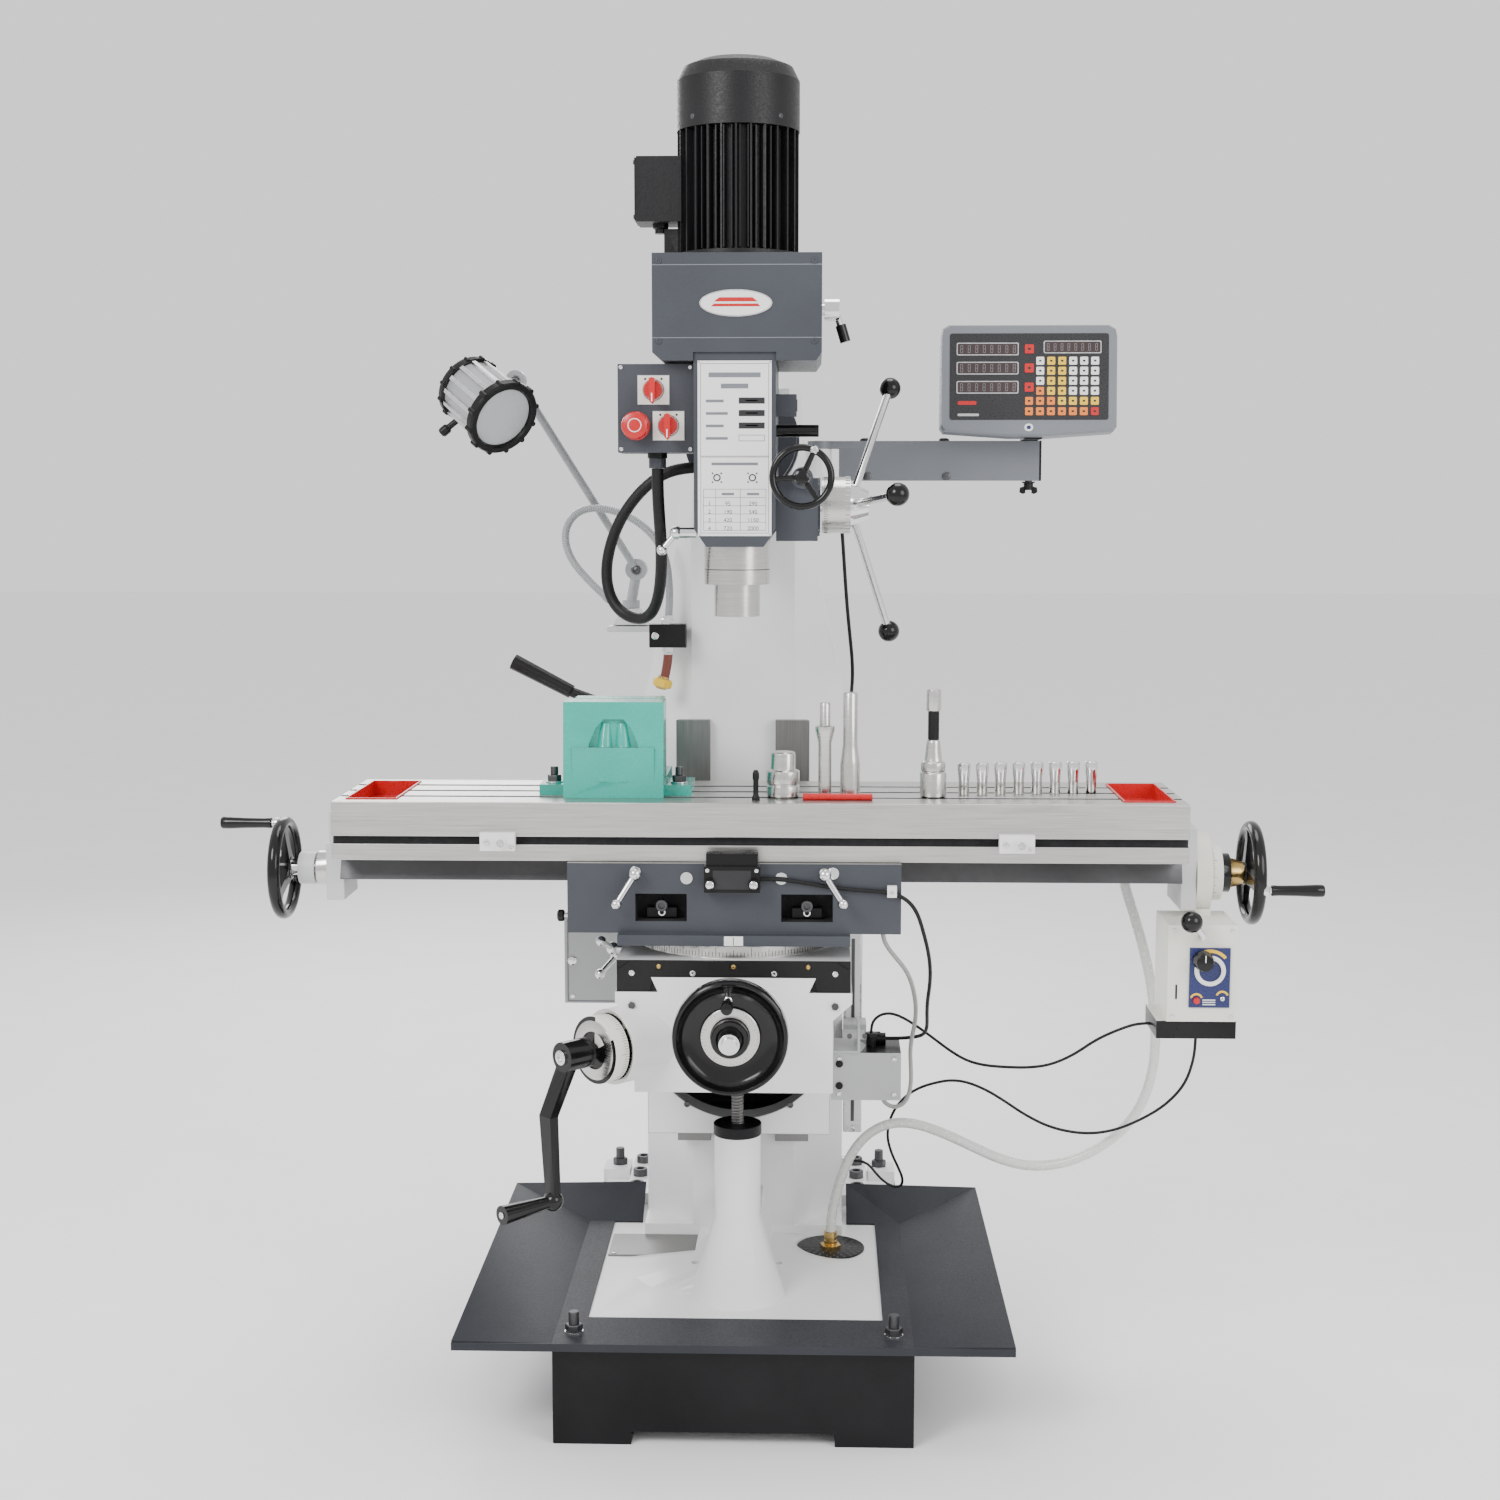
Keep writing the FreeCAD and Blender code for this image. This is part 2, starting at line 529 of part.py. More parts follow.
def elevating_screw():
    teeth, mate = int(S.bevel_gear), int(S.bevel_pinion)
    gear = bevel((0, 0, S.crank_z), (0, 0, -1), (-1, -1, 0), teeth, mate, 10)
    shaft = rotated(straight((0, 0, S.screw_low), (0, 0, S.crank_z - 27), S.screw_r), V(0, 0, 1), 25)
    keep(fuse(gear, shaft), "elevating_screw")


def knee_crank():
    teeth, mate = int(S.bevel_pinion), int(S.bevel_gear)
    out = (-1, -1, 0)
    gear = rotated(bevel((0, 0, S.crank_z), out, (0, 0, -1), teeth, mate, 8),
                   V(*out), 180 / teeth, (0, 0, S.crank_z))
    shaft = straight(crank_point(36), crank_point(S.crank_hub_top), S.crank_shaft_r)
    dial = straight(crank_point(S.crank_dial_low), crank_point(S.crank_dial_top), S.crank_dial_r)
    hub = straight(crank_point(300), crank_point(S.crank_hub_top), S.crank_hub_r)
    high, dog, reach = S.crank_hub_top - 16, S.crank_dog, S.crank_reach
    sections = []
    for down, along, side, wide, thick in ((0, 0, 0, 28, 17), (91, 22, 25, 26, 15), (reach, dog, 6, 20, 13)):
        corners = [crank_point(high + along + a * thick / 2, side + b * wide / 2)
                   for a, b in ((-1, -1), (1, -1), (1, 1), (-1, 1))]
        sections.append((S.crank_z - down, [corner[:2] for corner in corners]))
    arm = loft(sections)
    eye = ball(crank_point(high + dog, 6, -reach), 15)
    grip = straight(crank_point(high + dog + 12, 6, -reach),
                    crank_point(high + dog + S.crank_grip, 6, -reach), 9, S.crank_grip_r)
    keep(fuse(gear, shaft, dial, hub, arm, eye, grip), "knee_crank")


def cross_handwheel():
    """A dished wheel with a rolled edge and a small turning knob."""
    front, lip = S.dish_front, S.dish_lip
    dish = cut(rod("y", (0, "cross_z"), ("dish_front", "dish_back"), "dish_r"),
               cone("y", (0, "cross_z"), ("dish_front", "dish_front + dish_lip"),
                    ("dish_r - 5", "dish_r - 30")),
               rod("y", (0, "cross_z"), ("dish_front", "dish_back"), "cross_r"),
               cut(rod("y", (0, "cross_z"), ("dish_back - 9", "dish_back"), "dish_r - 7"),
                   rod("y", (0, "cross_z"), ("dish_back - 9", "dish_back"), 30)))
    stem = rod("y", (-3, "cross_z + 53"), (front + lip - 30, front + lip + 1), 5)
    knob = rod("y", (-3, "cross_z + 53"), (front - 44, front + lip - 28), 9)
    hub = cut(rod("y", (0, "cross_z"), ("dish_front - 6", "dish_back"), 27),
              rod("y", (0, "cross_z"), ("dish_front - 7", "dish_back + 1"), "cross_r"))
    keep(fuse(dish, stem, knob, hub), "cross_handwheel")


def cross_screw():
    shaft = rod("y", (0, "cross_z"), ("cross_nose", "knee_back - 60"), "cross_r")
    dial = rod("y", (0, "cross_z"), ("dish_back + 1", "cross_boss_y - 2"), "cross_dial_r - 4")
    nut = rod("y", (0, "cross_z"), ("cross_nose + 6", "dish_front - 6"), 15)
    keep(fuse(shaft, dial, nut), "cross_screw")


def junction_box():
    case = box(("knee_x + gap", "knee_x + 112"), (100, 186), (446, 524))
    tray = cut(box(("knee_x + gap", "knee_x + 46"), (96, 176), (524, 566)),
               box(("knee_x + 4", "knee_x + 42"), (95, 177), (528, 567)))
    reader = box(("column_x + 1", "column_x + 40"), (300, 350), (470, 520))
    arm = box(("knee_x + 20", "column_x + 36"), (186, 300), (478, 512))
    plugs = [rod("z", (212, 146), (524, 546), 8), rod("x", (160, 533), (212, 236), 9)]
    keep(fuse(case, tray, reader, arm, *plugs), "junction_box")


def clamp_lever(at, out, tip, node):
    """A hub, a slim arm and a ball; the arm runs from the hub to the tip."""
    base, head = V(*at), V(*at) + V(*out)
    post = straight(tuple(base), tuple(head), 8)
    knuckle = feature(Part.makeSphere(10, head, V(*out)))
    arm = straight(tuple(head), tip, 4.5)
    end = feature(Part.makeSphere(8, V(*tip), V(*tip) - head))
    keep(fuse(post, knuckle, arm, end), node)


# ---------------------------------------------------------------- saddle and carriage
def saddle():
    x, y, gap = "saddle_x", "saddle_y", S.gap
    top = box(("-" + x, x), ("-" + y, y), ("saddle_z", "saddle_top"))
    low, high = S.knee_top + gap, S.saddle_z + 1
    flare = (S.dovetail_top - S.dovetail_low) / (S.dovetail_z - S.knee_top)
    cheeks = []
    for side in (-1, 1):
        inner_low = S.dovetail_low + flare * (low - S.knee_top) + gap + 0.2
        inner_top = S.dovetail_low + flare * (high - S.knee_top) + gap + 0.2
        points = [(side * S.saddle_x, low), (side * inner_low, low), (side * inner_top, high),
                  (side * S.saddle_x, high)]
        cheeks.append(prism("y", points, (-S.saddle_y, S.saddle_y)))
    ring_plate = rod("z", (0, 0), ("saddle_top", "scale_top"), "scale_r")
    nut = box((-20, 20), (-22, 46), ("cross_z - 14", "saddle_z + 2"))
    bore = rod("y", (0, "cross_z"), (-23, 47), "cross_r + fit")
    pivot = rod("z", (0, 0), ("scale_top", "scale_top + 30"), 30)
    keep(cut(fuse(top, *cheeks, ring_plate, nut, pivot), bore), "saddle")


def swivel_carriage():
    step = box(("-step_x", "step_x"), ("-saddle_y + 4", "carriage_back"), ("step_z", "step_top"))
    body = box(("-carriage_x", "carriage_x"), ("-carriage_y", "carriage_back"), ("step_top", "carriage_top"))
    tail = prism("x", [(-S.tail_neck - S.gap, S.carriage_top + 1), (S.tail_neck + S.gap, S.carriage_top + 1),
                       (S.tail_y + S.gap, S.tail_z - S.gap), (-S.tail_y - S.gap, S.tail_z - S.gap)],
                 (-S.carriage_x - 1, S.carriage_x + 1))
    trough = box(("-carriage_x - 1", "carriage_x + 1"), (-22, 22), ("feed_z - 22", "carriage_top"))
    pivot = rod("z", (0, 0), ("step_z - 1", "scale_top + 30.3"), "30 + fit")
    windows = [box((f"{a}", f"{b}"), ("-carriage_y - 1", "window_deep - carriage_y"),
                   ("window_low", "window_high"))
               for a, b in (("-window_out", "-window_in"), ("window_in", "window_out"))]
    lug = box((-40, 40), (-17, 17), ("feed_z - 26", "feed_z + 17"))
    bore = rod("x", (0, "feed_z"), (-60, 60), "feed_r + fit")
    block = cut(fuse(step, body), tail, trough, pivot, *windows)
    keep(cut(fuse(block, lug), bore), "swivel_carriage")


def limit_switch():
    case = box((-43, 39), ("-carriage_y - 26", "-carriage_y"), (833, 872))
    hood = box((-40, 36), ("-carriage_y - 22", "-carriage_y - 1"), (872, 890))
    eyes = [rod("y", (x, 846), ("-carriage_y - 34", "-carriage_y - 26"), 8) for x in (-34, 30)]
    keep(fuse(case, hood, *eyes), "limit_switch")


# ---------------------------------------------------------------- table
def table():
    """The table is a body: the slab is padded along X, then slots and pockets are taken out."""
    body = doc.addObject("PartDesign::Body", "TableBody")
    side = next(f for f in body.Origin.OriginFeatures if f.Role == "YZ_Plane")
    sketch = body.newObject("Sketcher::SketchObject", "TableSection")
    sketch.AttachmentSupport = (side, [""])
    sketch.MapMode = "FlatFace"
    low, top, y = S.table_low, S.table_top, S.table_y
    corners = [(-y, low), (-S.tail_neck, low), (-S.tail_y, S.tail_z), (-S.trough, S.tail_z),
               (-S.trough, low - 12), (S.trough, low - 12), (S.trough, S.tail_z), (S.tail_y, S.tail_z),
               (S.tail_neck, low), (y, low), (y, top), (-y, top)]
    for start, end in zip(corners, corners[1:] + corners[:1]):
        sketch.addGeometry(Part.LineSegment(V(*start, 0), V(*end, 0)), False)
    pad = body.newObject("PartDesign::Pad", "Slab")
    pad.Profile = sketch
    pad.Midplane = True
    bind(pad, "Length", "table_long")
    doc.recompute()
    slab = body.Shape.Volume
    slot = body.newObject("Sketcher::SketchObject", "SlotSection")
    slot.AttachmentSupport = (side, [""])
    slot.MapMode = "FlatFace"
    neck, wide = S.slot_neck / 2, S.slot_wide / 2
    first = -S.slot_pitch
    deep, lip = top - S.slot_deep, top - S.slot_neck_deep
    slot_corners = [(first - neck, top + 1), (first - neck, lip), (first - wide, lip), (first - wide, deep),
                    (first + wide, deep), (first + wide, lip), (first + neck, lip), (first + neck, top + 1)]
    for start, end in zip(slot_corners, slot_corners[1:] + slot_corners[:1]):
        slot.addGeometry(Part.LineSegment(V(*start, 0), V(*end, 0)), False)
    pocket = body.newObject("PartDesign::Pocket", "Slot")
    pocket.Profile = slot
    pocket.Midplane = True
    bind(pocket, "Length", "table_long + 2")
    doc.recompute()
    repeat = body.newObject("PartDesign::LinearPattern", "Slots")
    repeat.Originals = [pocket]
    repeat.Direction = (next(f for f in body.Origin.OriginFeatures if f.Role == "Y_Axis"), [""])
    bind(repeat, "Length", "2 * slot_pitch")
    repeat.Occurrences = 3
    body.Tip = repeat
    doc.recompute()
    section = S.slot_neck * S.slot_neck_deep + S.slot_wide * (S.slot_deep - S.slot_neck_deep)
    if abs((slab - body.Shape.Volume) / (3 * section * S.table_long) - 1) > 0.01:
        raise ValueError("the table's slots didn't cut")
    return body


def finished_table():
    body = table()
    put(body, ("table_x", 0, 0))
    left, right = "table_x - table_long / 2", "table_x + table_long / 2"
    groove = box((f"{left} - 1", f"{right} + 1"), ("-table_y - 1", "groove_deep - table_y"),
                 ("groove_low", "groove_high"))
    deep = ("table_top - pocket_deep", "table_top + 1")
    ends = [box((f"{left} + pocket_inset", f"{left} + pocket_inset + tray_pocket"),
                ("-pocket_y", "pocket_y"), deep),
            box((f"{right} - pocket_inset - tray_pocket", f"{right} - pocket_inset"),
                ("-pocket_y", "pocket_y"), deep)]
    drain = rod("z", (604, 100), (858, 880), 12)
    keep(fuse(cut(body, groove, *ends), drain), "table")


def end_brackets():
    left, right = "table_x - table_long / 2", "table_x + table_long / 2"
    holes = [rod("x", (0, "feed_z"), (-800, 800), "feed_r + fit") for _ in range(2)]
    left_end = fuse(box((f"{left} - left_plate", left), (-46, 46), (796, 884)),
                    box((f"{left} - 10", left), (-100, 100), (884, 940)),
                    rod("x", (0, "feed_z"), (f"{left} - left_plate - 22", left), 27))
    right_end = box((right, f"{right} + right_plate"), (-60, 60), (790, 916))
    keep(group(cut(left_end, holes[0]), cut(right_end, holes[1])), "end_brackets")


def tooling():
    """The cutter holders, collets and other turned tools that stand on the table."""
    bit = turned(31, -91, [(6, 0), (6, 4), (4, 8), (4, 30), (5, 32), (5, 40), (3, 45)])
    chuck = turned(71, -58, [(21, 0), (25, 3), (25, 18), (23.5, 19), (23.5, 21), (25, 22), (25, 40),
                             (18.5, 43), (18.5, 67), (16, 69)])
    drift = turned(134, -56, [(10, 0), (10, 82), (15, 102), (15, 107), (8, 109), (8, 141), (7, 143)])
    arbor = turned(172, -54, [(15, 0), (15, 50), (11, 80), (11, 156), (10, 158)])
    holder = turned(297, -50, [(18, 0), (20, 2), (20, 37), (17, 39), (18.5, 41), (18.5, 53), (13.5, 55),
                               (10, 86), (8.5, 87), (8.5, 130), (11, 131), (11, 161), (10, 163)])
    collets = [turned(345 + 28 * k, -26 + 4.14 * k, [(7.5, 0), (8, 1), (8, 20), (10, 40), (10, 48), (9, 49)])
               for k in range(8)]
    marker = rod("x", (-88, "table_top + 5"), (101, 205), 5)
    return [bit, chuck, drift, arbor, holder, *collets, marker]


def table_fittings():
    """Two stop dogs on the front groove, two red drip trays in the top and the tools on it."""
    dogs = []
    tongue = ("groove_low + 0.5", "groove_high - 0.5")
    for x in (-350, 416):
        dog = fuse(box((x - 26, x + 26), ("-table_y - 14", "-table_y"), (889, 916)),
                   box((x - 24, x + 24), ("-table_y", "groove_deep - table_y - 1"), tongue),
                   rod("y", (x + 6, 902), ("-table_y - 24", "-table_y - 13"), 8))
        dogs.append(dog)
    left, right = "table_x - table_long / 2", "table_x + table_long / 2"
    trays = []
    for low in (f"{left} + pocket_inset", f"{right} - pocket_inset - tray_pocket"):
        span = (f"{low} + gap", f"{low} + tray_pocket - gap")
        outer = box(span, ("gap - pocket_y", "pocket_y - gap"), ("table_top - pocket_deep", "table_top + 2"))
        inner = box((f"{low} + 3", f"{low} + tray_pocket - 3"), ("3 - pocket_y", "pocket_y - 3"),
                    ("table_top - pocket_deep + 2.5", "table_top + 3"))
        trays.append(cut(outer, inner))
    keep(group(*dogs, *trays, *tooling()), "table_fittings")


def table_screw():
    left = "table_x - table_long / 2"
    shaft = rod("x", (0, "feed_z"), ("left_wheel - 14", "right_wheel + 16"), "feed_r")
    left_dial = rod("x", (0, "feed_z"), (f"{left} - left_plate - 50", f"{left} - left_plate - 24"), 25)
    right_dial = rod("x", (0, "feed_z"), ("drive_case + 1", "drive_case + 20"), 42)
    lock_ring = rod("x", (0, "feed_z"), ("drive_case + 20", "drive_case + 34"), 30)
    brass = cone("x", (0, "feed_z"), ("drive_case + 34", "right_wheel - 13"), (24, 17))
    keep(fuse(shaft, left_dial, right_dial, lock_ring, brass), "table_screw")


def handwheel(x, side, grip_angle):
    """A three-spoke wheel on the table screw, with a turning grip pointing outwards."""
    rim = ring("x", (x, 0, "feed_z"), "wheel_r - rim_r", "rim_r")
    hub = rod("x", (0, "feed_z"), (f"{x} - 12", f"{x} + 12"), "wheel_hub_r")
    z = S.feed_z
    centre = float(SIZES[x])
    spokes = []
    for number in range(3):
        angle = math.radians(grip_angle + 120 * number)
        end = (centre, math.cos(angle) * (S.wheel_r - S.rim_r), z + math.sin(angle) * (S.wheel_r - S.rim_r))
        spokes.append(straight((centre - side * 4, 0, z), end, 9, 7))
    angle = math.radians(grip_angle)
    at = (math.cos(angle) * (S.wheel_r - S.rim_r), z + math.sin(angle) * (S.wheel_r - S.rim_r))
    start, end = centre + side * 4, centre + side * (10 + S.grip_long)
    stem = straight((start, *at), (end, *at), 5)
    grip = straight((start + side * 10, *at), (end, *at), S.grip_r - 2, S.grip_r)
    return cut(fuse(rim, hub, *spokes, stem, grip), rod("x", (0, "feed_z"), (-900, 900), "feed_r"))


def table_handwheels():
    keep(group(handwheel("left_wheel", -1, 96), handwheel("right_wheel", 1, 192)), "table_handwheels")


def power_feed():
    right = "table_x + table_long / 2 + right_plate"
    head = rod("x", (0, "feed_z"), (f"{right} + gap", "drive_case"), "drive_case_r")
    case = box(("drive_in", "drive_out"), ("drive_front", "drive_back"), ("drive_low", "drive_high"))
    neck = box((f"{right} + gap", "drive_case"), ("drive_back - 40", 20),
               ("drive_high - 60", "drive_high + 10"))
    foot = box(("drive_in - 14", "drive_out + 2"), ("drive_front + 4", "drive_back - 4"),
               ("drive_foot", "drive_low"))
    panel = box(("drive_in + 32", "drive_out - 10"), ("drive_front - 3", "drive_front"),
                ("drive_low + 22", "drive_high - 34"))
    bore = rod("x", (0, "feed_z"), (600, 800), "feed_r + fit")
    shaft_hole = rod("y", (694, 728), ("drive_front - 5", "drive_front + 12"), 4.1)
    lever_hole = rod("y", (694, 764), ("drive_front - 5", "drive_front + 20"), 6.1)
    keep(cut(fuse(head, case, neck, foot, panel), bore, shaft_hole, lever_hole), "power_feed")


def power_feed_knob():
    knob = rod("y", (694, 728), ("drive_front - 28", "drive_front - 4"), 15)
    stem = rod("y", (694, 728), ("drive_front - 4", "drive_front + 10"), 4)
    keep(fuse(knob, stem), "power_feed_knob")


def power_feed_lever():
    stem = rod("y", (694, 764), ("drive_front - 22", "drive_front + 18"), 6)
    arm = straight((694, S.drive_front - 16, 764), (676, S.drive_front - 26, 786), 5)
    end = feature(Part.makeSphere(16, V(672, S.drive_front - 28, 790)))
    keep(fuse(stem, arm, end), "power_feed_lever")


# ---------------------------------------------------------------- vise
def vise_body():
    left, right, front, back = "vise_left", "vise_right", "vise_front", "vise_back"
    foot = box(("vise_left - 40", "vise_right + 40"), (-46, 46), ("table_top", "table_top + 16"))
    base = box((left, right), (front, back), ("table_top", "vise_base"))
    bed = box((f"{left} + 14", f"{right} - 14"), (front, back), ("vise_base", "vise_bed"))
    fixed = prism("x", [(S.vise_front, S.vise_base), (S.vise_front + 10, S.vise_top),
                        (S.vise_front + 66, S.vise_top), (S.vise_front + 66, S.vise_base)],
                  (S.vise_left, S.vise_right))
    middle = (S.vise_left + S.vise_right) / 2
    arch = [(middle + side * 44 * (1 - (rise / 96) ** 2) ** 0.5, S.vise_base + 3 + rise)
            for side, rises in ((-1, (0, 30, 56, 76, 90)), (1, (90, 76, 56, 30, 0))) for rise in rises]
    recess = prism("y", arch, (S.vise_front - 5, S.vise_front + 16))
    ribs = [straight((middle + side * 17, S.vise_front + 14, S.vise_base - 2),
                     (middle + side * 12, S.vise_front + 22, S.vise_base + 86), 16, 9) for side in (-1, 1)]
    fixed = fuse(cut(fixed, recess), *ribs)
    wall = box((f"{left} + 14", f"{right} - 14"), (f"{back} - 22", back),
               ("vise_bed - 1", "vise_screw_z + 20"))
    nut = rod("y", ("(vise_left + vise_right) / 2", "vise_screw_z"), (f"{back} - 30", back), 18)
    bore = rod("y", ("(vise_left + vise_right) / 2", "vise_screw_z"), (0, 300), "11 + fit")
    keep(cut(fuse(foot, base, bed, fixed, wall, nut), bore), "vise_body")


def vise_jaw():
    block = box(("vise_left + 6", "vise_right - 6"), (20, 62), ("vise_bed + gap", "vise_top - 2"))
    socket = rod("y", ("(vise_left + vise_right) / 2", "vise_screw_z"), (48, 63), "11 + fit")
    keep(cut(block, socket), "vise_jaw")


def vise_screw():
    middle = "(vise_left + vise_right) / 2"
    centre = (S.vise_left + S.vise_right) / 2
    shaft = rod("y", (middle, "vise_screw_z"), (49, "vise_back + 58"), 11)
    hub = rod("y", (middle, "vise_screw_z"), ("vise_back + 34", "vise_back + 60"), 17)
    y = S.vise_back + 46
    arm = straight((centre, y, S.vise_screw_z), (centre - 96, y + 8, S.vise_screw_z + 36), 10, 8)
    grip = straight((centre - 90, y + 7, S.vise_screw_z + 34), (-368, y + 16, 1146), 11, 13)
    keep(fuse(shaft, hub, arm, grip), "vise_screw")


# ---------------------------------------------------------------- head
def head_casting():
    x = "head_x"
    body = prism("y", [(-S.head_x, S.head_low + 26), (-S.head_x + 18, S.head_low),
                       (S.head_x - 18, S.head_low), (S.head_x, S.head_low + 26),
                       (S.head_x, S.head_top), (-S.head_x, S.head_top)],
                 (S.head_front, S.head_back))
    worm_case = box((x, "head_x + 62"), (-58, 108), (1344, 1436))
    pinion_case = rod("x", ("pinion_y", "pinion_z"), ("head_x", "head_x + 66"), 42)
    rear = rod("y", (0, "pivot_z"), ("head_back - 2", "flange_front - gap"), "flange_r - 4")
    neck = box(("-head_x", "head_x"), ("head_back - 2", "flange_front - 12"), (1420, 1580))
    ear = box(("head_x - 1", "head_x + 30"), (-52, -20), (1528, 1560))
    stub = rod("x", (-30, 1507), ("head_x - 1", "head_x + 63"), 9)
    quill_bore = rod("z", (0, 0), ("head_low - 1", "head_top - 30"), "quill_r + fit")
    spline_hole = rod("z", (0, 0), ("head_top - 31", "head_top + 1"), 24)
    shaft_hole = rod("x", ("pinion_y", "pinion_z"), (-40, "head_x + 70"), "11 + fit")
    pinion_room = rod("x", ("pinion_y", "pinion_z"), (-16, 16), 21)
    fine_hole = rod("y", (99, 1437), (-74, -30), 7.1)
    fine_boss = rod("y", (99, 1437), (-72, -20), 16)
    lock_hole = rod("x", (-30, "head_low + 20"), (-70, -56), 6.1)
    whole = fuse(body, worm_case, pinion_case, rear, neck, ear, stub, fine_boss)
    keep(cut(whole, quill_bore, spline_hole, shaft_hole, pinion_room,
             fine_hole, lock_hole), "head_casting")


def gearbox_housing():
    left, right, front, back = "gearbox_left", "gearbox_right", "gearbox_front", "gearbox_back"
    outer = prism("y", [(S.gearbox_left, S.head_top), (S.gearbox_left + 14, S.head_top - 12),
                        (S.gearbox_right - 8, S.head_top - 12), (S.gearbox_right, S.head_top),
                        (S.gearbox_right, S.gearbox_top), (S.gearbox_left, S.gearbox_top)],
                  (S.gearbox_front, S.gearbox_back))
    wall = "gearbox_wall"
    inner = box((f"{left} + {wall}", f"{right} - {wall}"), (f"{front} + {wall}", f"{back} - {wall}"),
                ("head_top + 8", f"gearbox_top - {wall}"))
    seat = box(("-head_x - gap", "head_x + gap"), ("gearbox_front - 1", "head_back + gap"),
               (1600, "head_top"))
    spline_hole = rod("z", (0, 0), (1600, 1640), 23)
    sleeve_seat = cut(rod("z", (0, 0), ("head_top + 8", "gear_low - 4"), 32),
                      rod("z", (0, 0), ("head_top + 7", "gear_low - 3"), "22 + fit"))
    top_hole = rod("z", (0, "motor_y"), ("gearbox_top - 20", "gearbox_top + 1"), 40)
    selector = rod("x", (0, 1687), (f"{right} - 20", f"{right} + 2"), 9.1)
    keep(cut(fuse(cut(outer, inner, spline_hole, top_hole, selector, seat), sleeve_seat),
             rod("z", (0, 0), (1600, "head_top + 9"), "22 + fit")), "gearbox_housing")


def motor():
    centre = (0, "motor_y")
    flange = rod("z", centre, ("gearbox_top", "motor_low"), "motor_r")
    body = rod("z", centre, ("motor_low", "motor_high"), "stator_r")
    count, fins = 26, []
    for number in range(count):
        fin = Part.makeBox(16, 3, S.motor_high - S.motor_low, V(S.stator_r - 3, -1.5, S.motor_low))
        fin.rotate(V(), V(0, 0, 1), 360 * (number + 0.5) / count)
        fin.translate(V(0, S.motor_y, 0))
        fins.append(feature(fin))
    frame = cut(fuse(flange, body, *fins), rod("z", centre, ("gearbox_top - 1", "motor_high + 1"), 62))
    shell = fuse(rod("z", centre, ("motor_high", "fan_top - 30"), "motor_r"),
                 cone("z", centre, ("fan_top - 30", "fan_top - 10"), ("motor_r", "motor_r - 10")),
                 cone("z", centre, ("fan_top - 10", "fan_top"), ("motor_r - 10", "motor_r - 34")))
    hollow = rod("z", centre, ("motor_high - 1", "fan_top - 14"), "motor_r - 5 - 8")
    collar = cut(rod("z", centre, ("motor_low", "motor_low + 14"), 63),
                 rod("z", centre, ("motor_low - 1", "motor_low + 15"), "12 + fit"))
    terminal = box((-152, -84), ("motor_y - 36", "motor_y + 36"), (1820, 1916))
    lug = box((-112, -80), ("motor_y - 12", "motor_y + 12"), ("motor_low", "motor_low + 38"))
    whole = fuse(frame, collar, cut(terminal, rod("z", centre, (1800, 1930), "stator_r - 4")), lug)
    stator_room = rod("z", centre, ("motor_low + 14", "motor_high + 1"), 61.5)
    keep(group(cut(whole, stator_room), cut(shell, hollow)), "motor")


def motor_rotor():
    """Rotor core, shaft, pinion at its lower end and cooling fan at its upper end."""
    centre = (0, "motor_y")
    shaft = rod("z", centre, ("gear_low", "motor_high + 54"), 12)
    core = rod("z", centre, (1806, 1930), 52)
    fan = rod("z", centre, ("motor_high + 24", "motor_high + 46"), 60)
    pinion = toothed("z", (0, S.motor_y), (S.gear_low, S.gear_high), int(S.pinion_teeth), S.gear_module,
                     -math.pi / 2 + math.pi / int(S.pinion_teeth))
    keep(fuse(shaft, core, fan, pinion), "motor_rotor")


def drive_sleeve():
    gear = toothed("z", (0, 0), (S.gear_low, S.gear_high), int(S.drive_teeth), S.gear_module, math.pi / 2)
    sleeve = rod("z", (0, 0), ("head_top + 2", "gear_high + 30"), 22)
    keep(cut(fuse(gear, sleeve), rod("z", (0, 0), (1600, 1800), "spline_r + fit")), "drive_sleeve")


def rack_gaps(count):
    """The cutters for the rack on the back of the quill."""
    pitch, module = math.pi * S.gear_module, S.gear_module
    face = S.pinion_y - S.gear_module * S.pinion_teeth / 2
    low, high = face - 1.3 * module, face + 8
    cutters = []
    for number in range(count):
        z = S.pinion_z + pitch * (number - 2)
        wide, thin = 0.46 * pitch, 0.3 * pitch
        points = [(low, z - thin), (low, z + thin), (face + module, z + wide - 0.3), (high, z + wide - 0.3),
                  (high, z - wide + 0.3), (face + module, z - wide + 0.3)]
        cutters.append(prism("x", points, (-15, 15)))
    return cutters


def quill():
    """The sliding sleeve with its rack; two spindle bearings sit inside it."""
    tube_body = rod("z", (0, 0), ("quill_low", "quill_top"), "quill_r")
    bore = rod("z", (0, 0), ("quill_low - 1", "quill_top + 1"), "spindle_r + 5")
    flat = box((-15, 15), ("pinion_y - gear_module * pinion_teeth / 2 + gear_module * 0.9", 60),
               ("pinion_z - 18", "quill_top - 12"))
    whole_length = ("quill_low - 1", "quill_top + 1")
    seats = [rod("z", (0, 0), span, 38)
             for span in (("quill_low - 1", "quill_low + 30"), ("quill_top - 24", "quill_top + 1"))]
    bearings = [cut(rod("z", (0, 0), span, 38), rod("z", (0, 0), whole_length, "spindle_r + fit"))
                for span in (("quill_low + 2", "quill_low + 30"), ("quill_top - 24", "quill_top - 2"))]
    keep(group(cut(tube_body, bore, flat, *seats, *rack_gaps(23)), *bearings), "quill")


